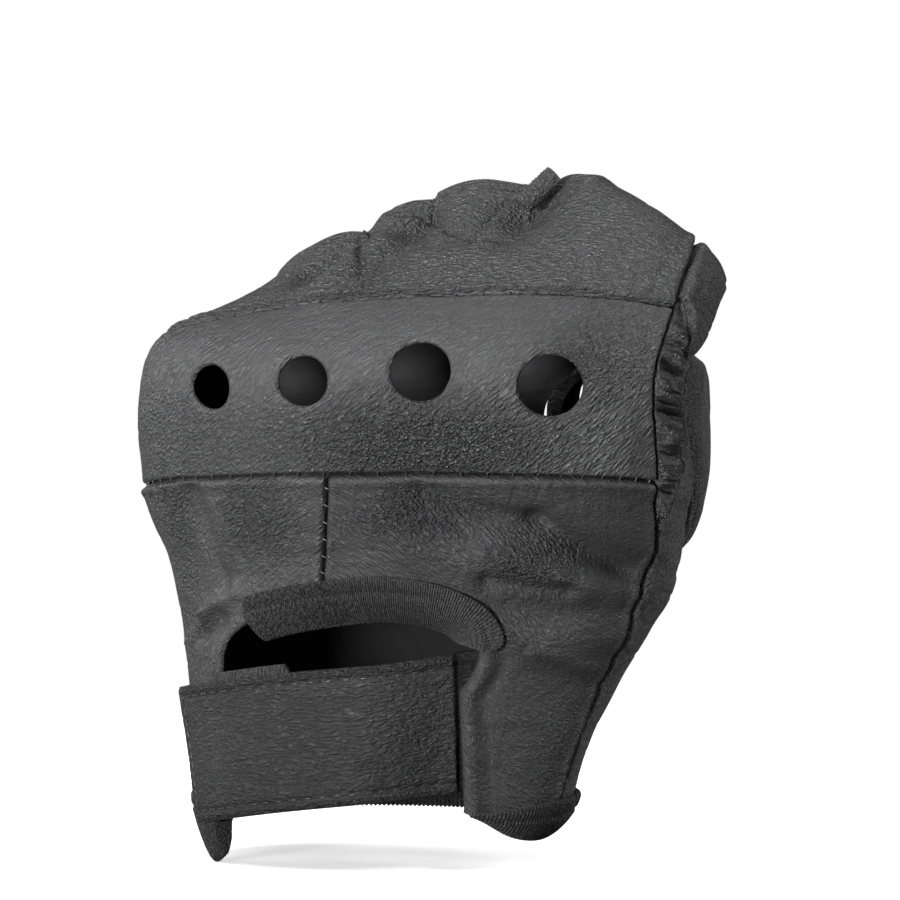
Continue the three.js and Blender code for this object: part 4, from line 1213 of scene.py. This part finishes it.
def stitches(name, centres, directions, normals, length, radius):
    """Short threads that come out of the leather and go back in."""
    rings, sides = 7, 6
    t = np.linspace(-1, 1, rings)
    turn = np.linspace(0, 2 * math.pi, sides, endpoint=False)
    points, faces = [], []
    for centre, direction, n in zip(centres, unit(directions), unit(normals)):
        side = np.cross(direction, n)
        start = len(points) * rings * sides
        arch = radius * 0.9 * (1 - t ** 2) - radius * 0.7
        thick = radius * np.sqrt(np.maximum(1 - (t * 0.96) ** 4, 0.02))
        spine = centre + direction * (t * length / 2)[:, None] + n * arch[:, None]
        ring = (side * np.cos(turn)[:, None] + n * np.sin(turn)[:, None])
        points.append((spine[:, None] + ring[None] * thick[:, None, None]).reshape(-1, 3))
        faces += tube_faces(start + np.arange(rings * sides).reshape(rings, sides))
    mend(add_mesh(name, np.concatenate(points), faces, [thread], sharp=80))


def spaced(points, gap):
    """Points at even distances along a line of points."""
    steps = np.linalg.norm(np.diff(points, axis=0), axis=1)
    at = np.concatenate([[0], np.cumsum(steps)])
    count = max(2, int(at[-1] / gap))
    where = (np.arange(count) + 0.5) * at[-1] / count
    return np.stack([np.interp(where, at, points[:, k]) for k in range(points.shape[1])], -1)


def stitch_line(name, phi, station, lift, gap, length, radius=0.17, across=False, slant=0.0):
    """Stitches along a line of places, or across it."""
    units = (BACK_ROUND_MM, ALONG_MM, 1)
    places = spaced(np.stack([phi, station, np.broadcast_to(lift, phi.shape)], -1) * units, gap)
    phi, station, lift = (places / units).T
    centres = lifted(phi, station, lift)
    forward = np.gradient(centres, axis=0)
    n = normal(phi, station)
    direction = np.cross(n, unit(forward)) if across else unit(forward)
    direction = direction + unit(forward) * slant
    stitches(name, centres, direction, n, length, radius)


def seams():
    share = np.linspace(0, 1, 200)
    for name, station in (("upper_seam_stitches", UPPER_SEAM), ("lower_seam_stitches", LOWER_SEAM)):
        s = np.full(200, float(station))
        phi = lerp(side_seam("radial", s), side_seam("ulnar", s), share)
        stitch_line(name, phi, s, -0.5, 3.0, 1.5, 0.12, across=True, slant=0.12)
    s = np.linspace(LOWER_SEAM - 0.05, 2.95, 60)
    stitch_line("centre_seam_stitches", centre_seam(s), s, -0.45, 2.7, 1.5, 0.16, across=True, slant=0.25)
    inset = STRAP["hem"] / STRAP["height"]
    root, end = 0.16, 1 - STRAP["hem"] / STRAP["length"]
    across = np.concatenate([np.full(120, inset), np.linspace(inset, 1 - inset, 60), np.full(120, 1 - inset)])
    along = np.concatenate([np.linspace(root, end, 120), np.full(60, end), np.linspace(end, root, 120)])
    phi, station, lift = strap_place(across, along)
    stitch_line("strap_stitches", phi, station, lift - 0.1, 2.3, 1.7, 0.15)


# Camera, floor and light

CAMERA = {"azimuth": 15, "distance": 0.7, "target": (0.0135, 0, 0.07), "lens": 151.35}


def floor_material():
    """White near the glove, and clear further out, where the white studio shows."""
    material, tree, shader = new_material("studio_white", (0.9, 0.9, 0.9), 0.9, Specular_IOR_Level=0.1,
                                          Emission_Color=(1, 1, 1, 1), Emission_Strength=0.55)
    k = Nodes(tree)
    length = k.make("ShaderNodeVectorMath", operation="LENGTH")
    k.link(k.place, length.inputs[0])
    k.link(k.spread(length.outputs["Value"], 0.2, 0.6, 1.0, 0.0), shader.inputs["Alpha"])
    return material


def stage():
    azimuth = CAMERA["azimuth"] * DEG
    target = Vector(CAMERA["target"])
    forward = Vector((-math.sin(azimuth), math.cos(azimuth), 0))
    data = bpy.data.cameras.new("view")
    data.lens = CAMERA["lens"]
    data.sensor_width = 36
    data.clip_start = 0.01
    camera = bpy.data.objects.new("view", data)
    camera.location = target - forward * CAMERA["distance"]
    camera.rotation_euler = forward.to_track_quat("-Z", "Y").to_euler()
    bpy.context.scene.collection.objects.link(camera)
    bpy.context.scene.camera = camera

    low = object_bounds()[0].z
    rings, sides, reach = 24, 96, 1.2
    radius = np.linspace(0, reach, rings + 1)[1:]
    turn = np.linspace(0, 2 * math.pi, sides, endpoint=False)
    points = [(0, 0, low)] + [(r * math.cos(t), r * math.sin(t), low) for r in radius for t in turn]
    index = 1 + np.arange(rings * sides).reshape(rings, sides)
    faces = tube_faces(index, capped=False)
    faces += [[0, a, b] for a, b in zip(index[0].tolist(), np.roll(index[0], -1).tolist())]
    mesh = bpy.data.meshes.new("studio_floor")
    mesh.from_pydata(points, [], faces)
    mesh.update()
    floor = bpy.data.objects.new("studio_floor", mesh)
    bpy.context.scene.collection.objects.link(floor)
    mesh.materials.append(floor_material())
    floor.visible_diffuse = False
    floor.visible_glossy = False
    floor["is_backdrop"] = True

    for name, place, size, power in (
        ("key", (-0.5, -0.6, 1.0), 0.3, 6),
        ("right", (0.6, -0.6, 0.95), 0.3, 5.5),
        ("front", (-0.3, -1.0, 0.02), 0.3, 36),
        ("left_rim", (-1.0, 0.3, 0.3), 0.5, 3),
        ("right_rim", (1.0, 0.3, 0.4), 0.5, 9),
        ("top", (0.0, 0.3, 1.1), 0.5, 3.5),
    ):
        light = bpy.data.lights.new(name, "AREA")
        light.size = size
        light.energy = power
        lamp = bpy.data.objects.new(name, light)
        lamp.location = place
        lamp.rotation_euler = (Vector((0, 0, 0.06)) - Vector(place)).to_track_quat("-Z", "Y").to_euler()
        bpy.context.scene.collection.objects.link(lamp)
    world = bpy.data.worlds.new("studio")
    world.use_nodes = True
    tree = world.node_tree
    seen, lit = tree.nodes["Background"], tree.nodes.new("ShaderNodeBackground")
    for background, strength in ((seen, 1.0), (lit, 0.16)):
        background.inputs["Color"].default_value = (1, 1, 1, 1)
        background.inputs["Strength"].default_value = strength
    path, either = tree.nodes.new("ShaderNodeLightPath"), tree.nodes.new("ShaderNodeMixShader")
    tree.links.new(path.outputs["Is Camera Ray"], either.inputs["Fac"])
    tree.links.new(lit.outputs[0], either.inputs[1])
    tree.links.new(seen.outputs[0], either.inputs[2])
    tree.links.new(either.outputs[0], tree.nodes["World Output"].inputs["Surface"])
    bpy.context.scene.world = world
    bpy.context.scene.view_settings.view_transform = "Standard"


knuckle_band()
finger_back()
back_panels()
palm()
side_gusset()
thumb_stall()
fourchettes()
bindings()
wrist_strap()
strap_closure()
rolled_edge()
seams()
stage()
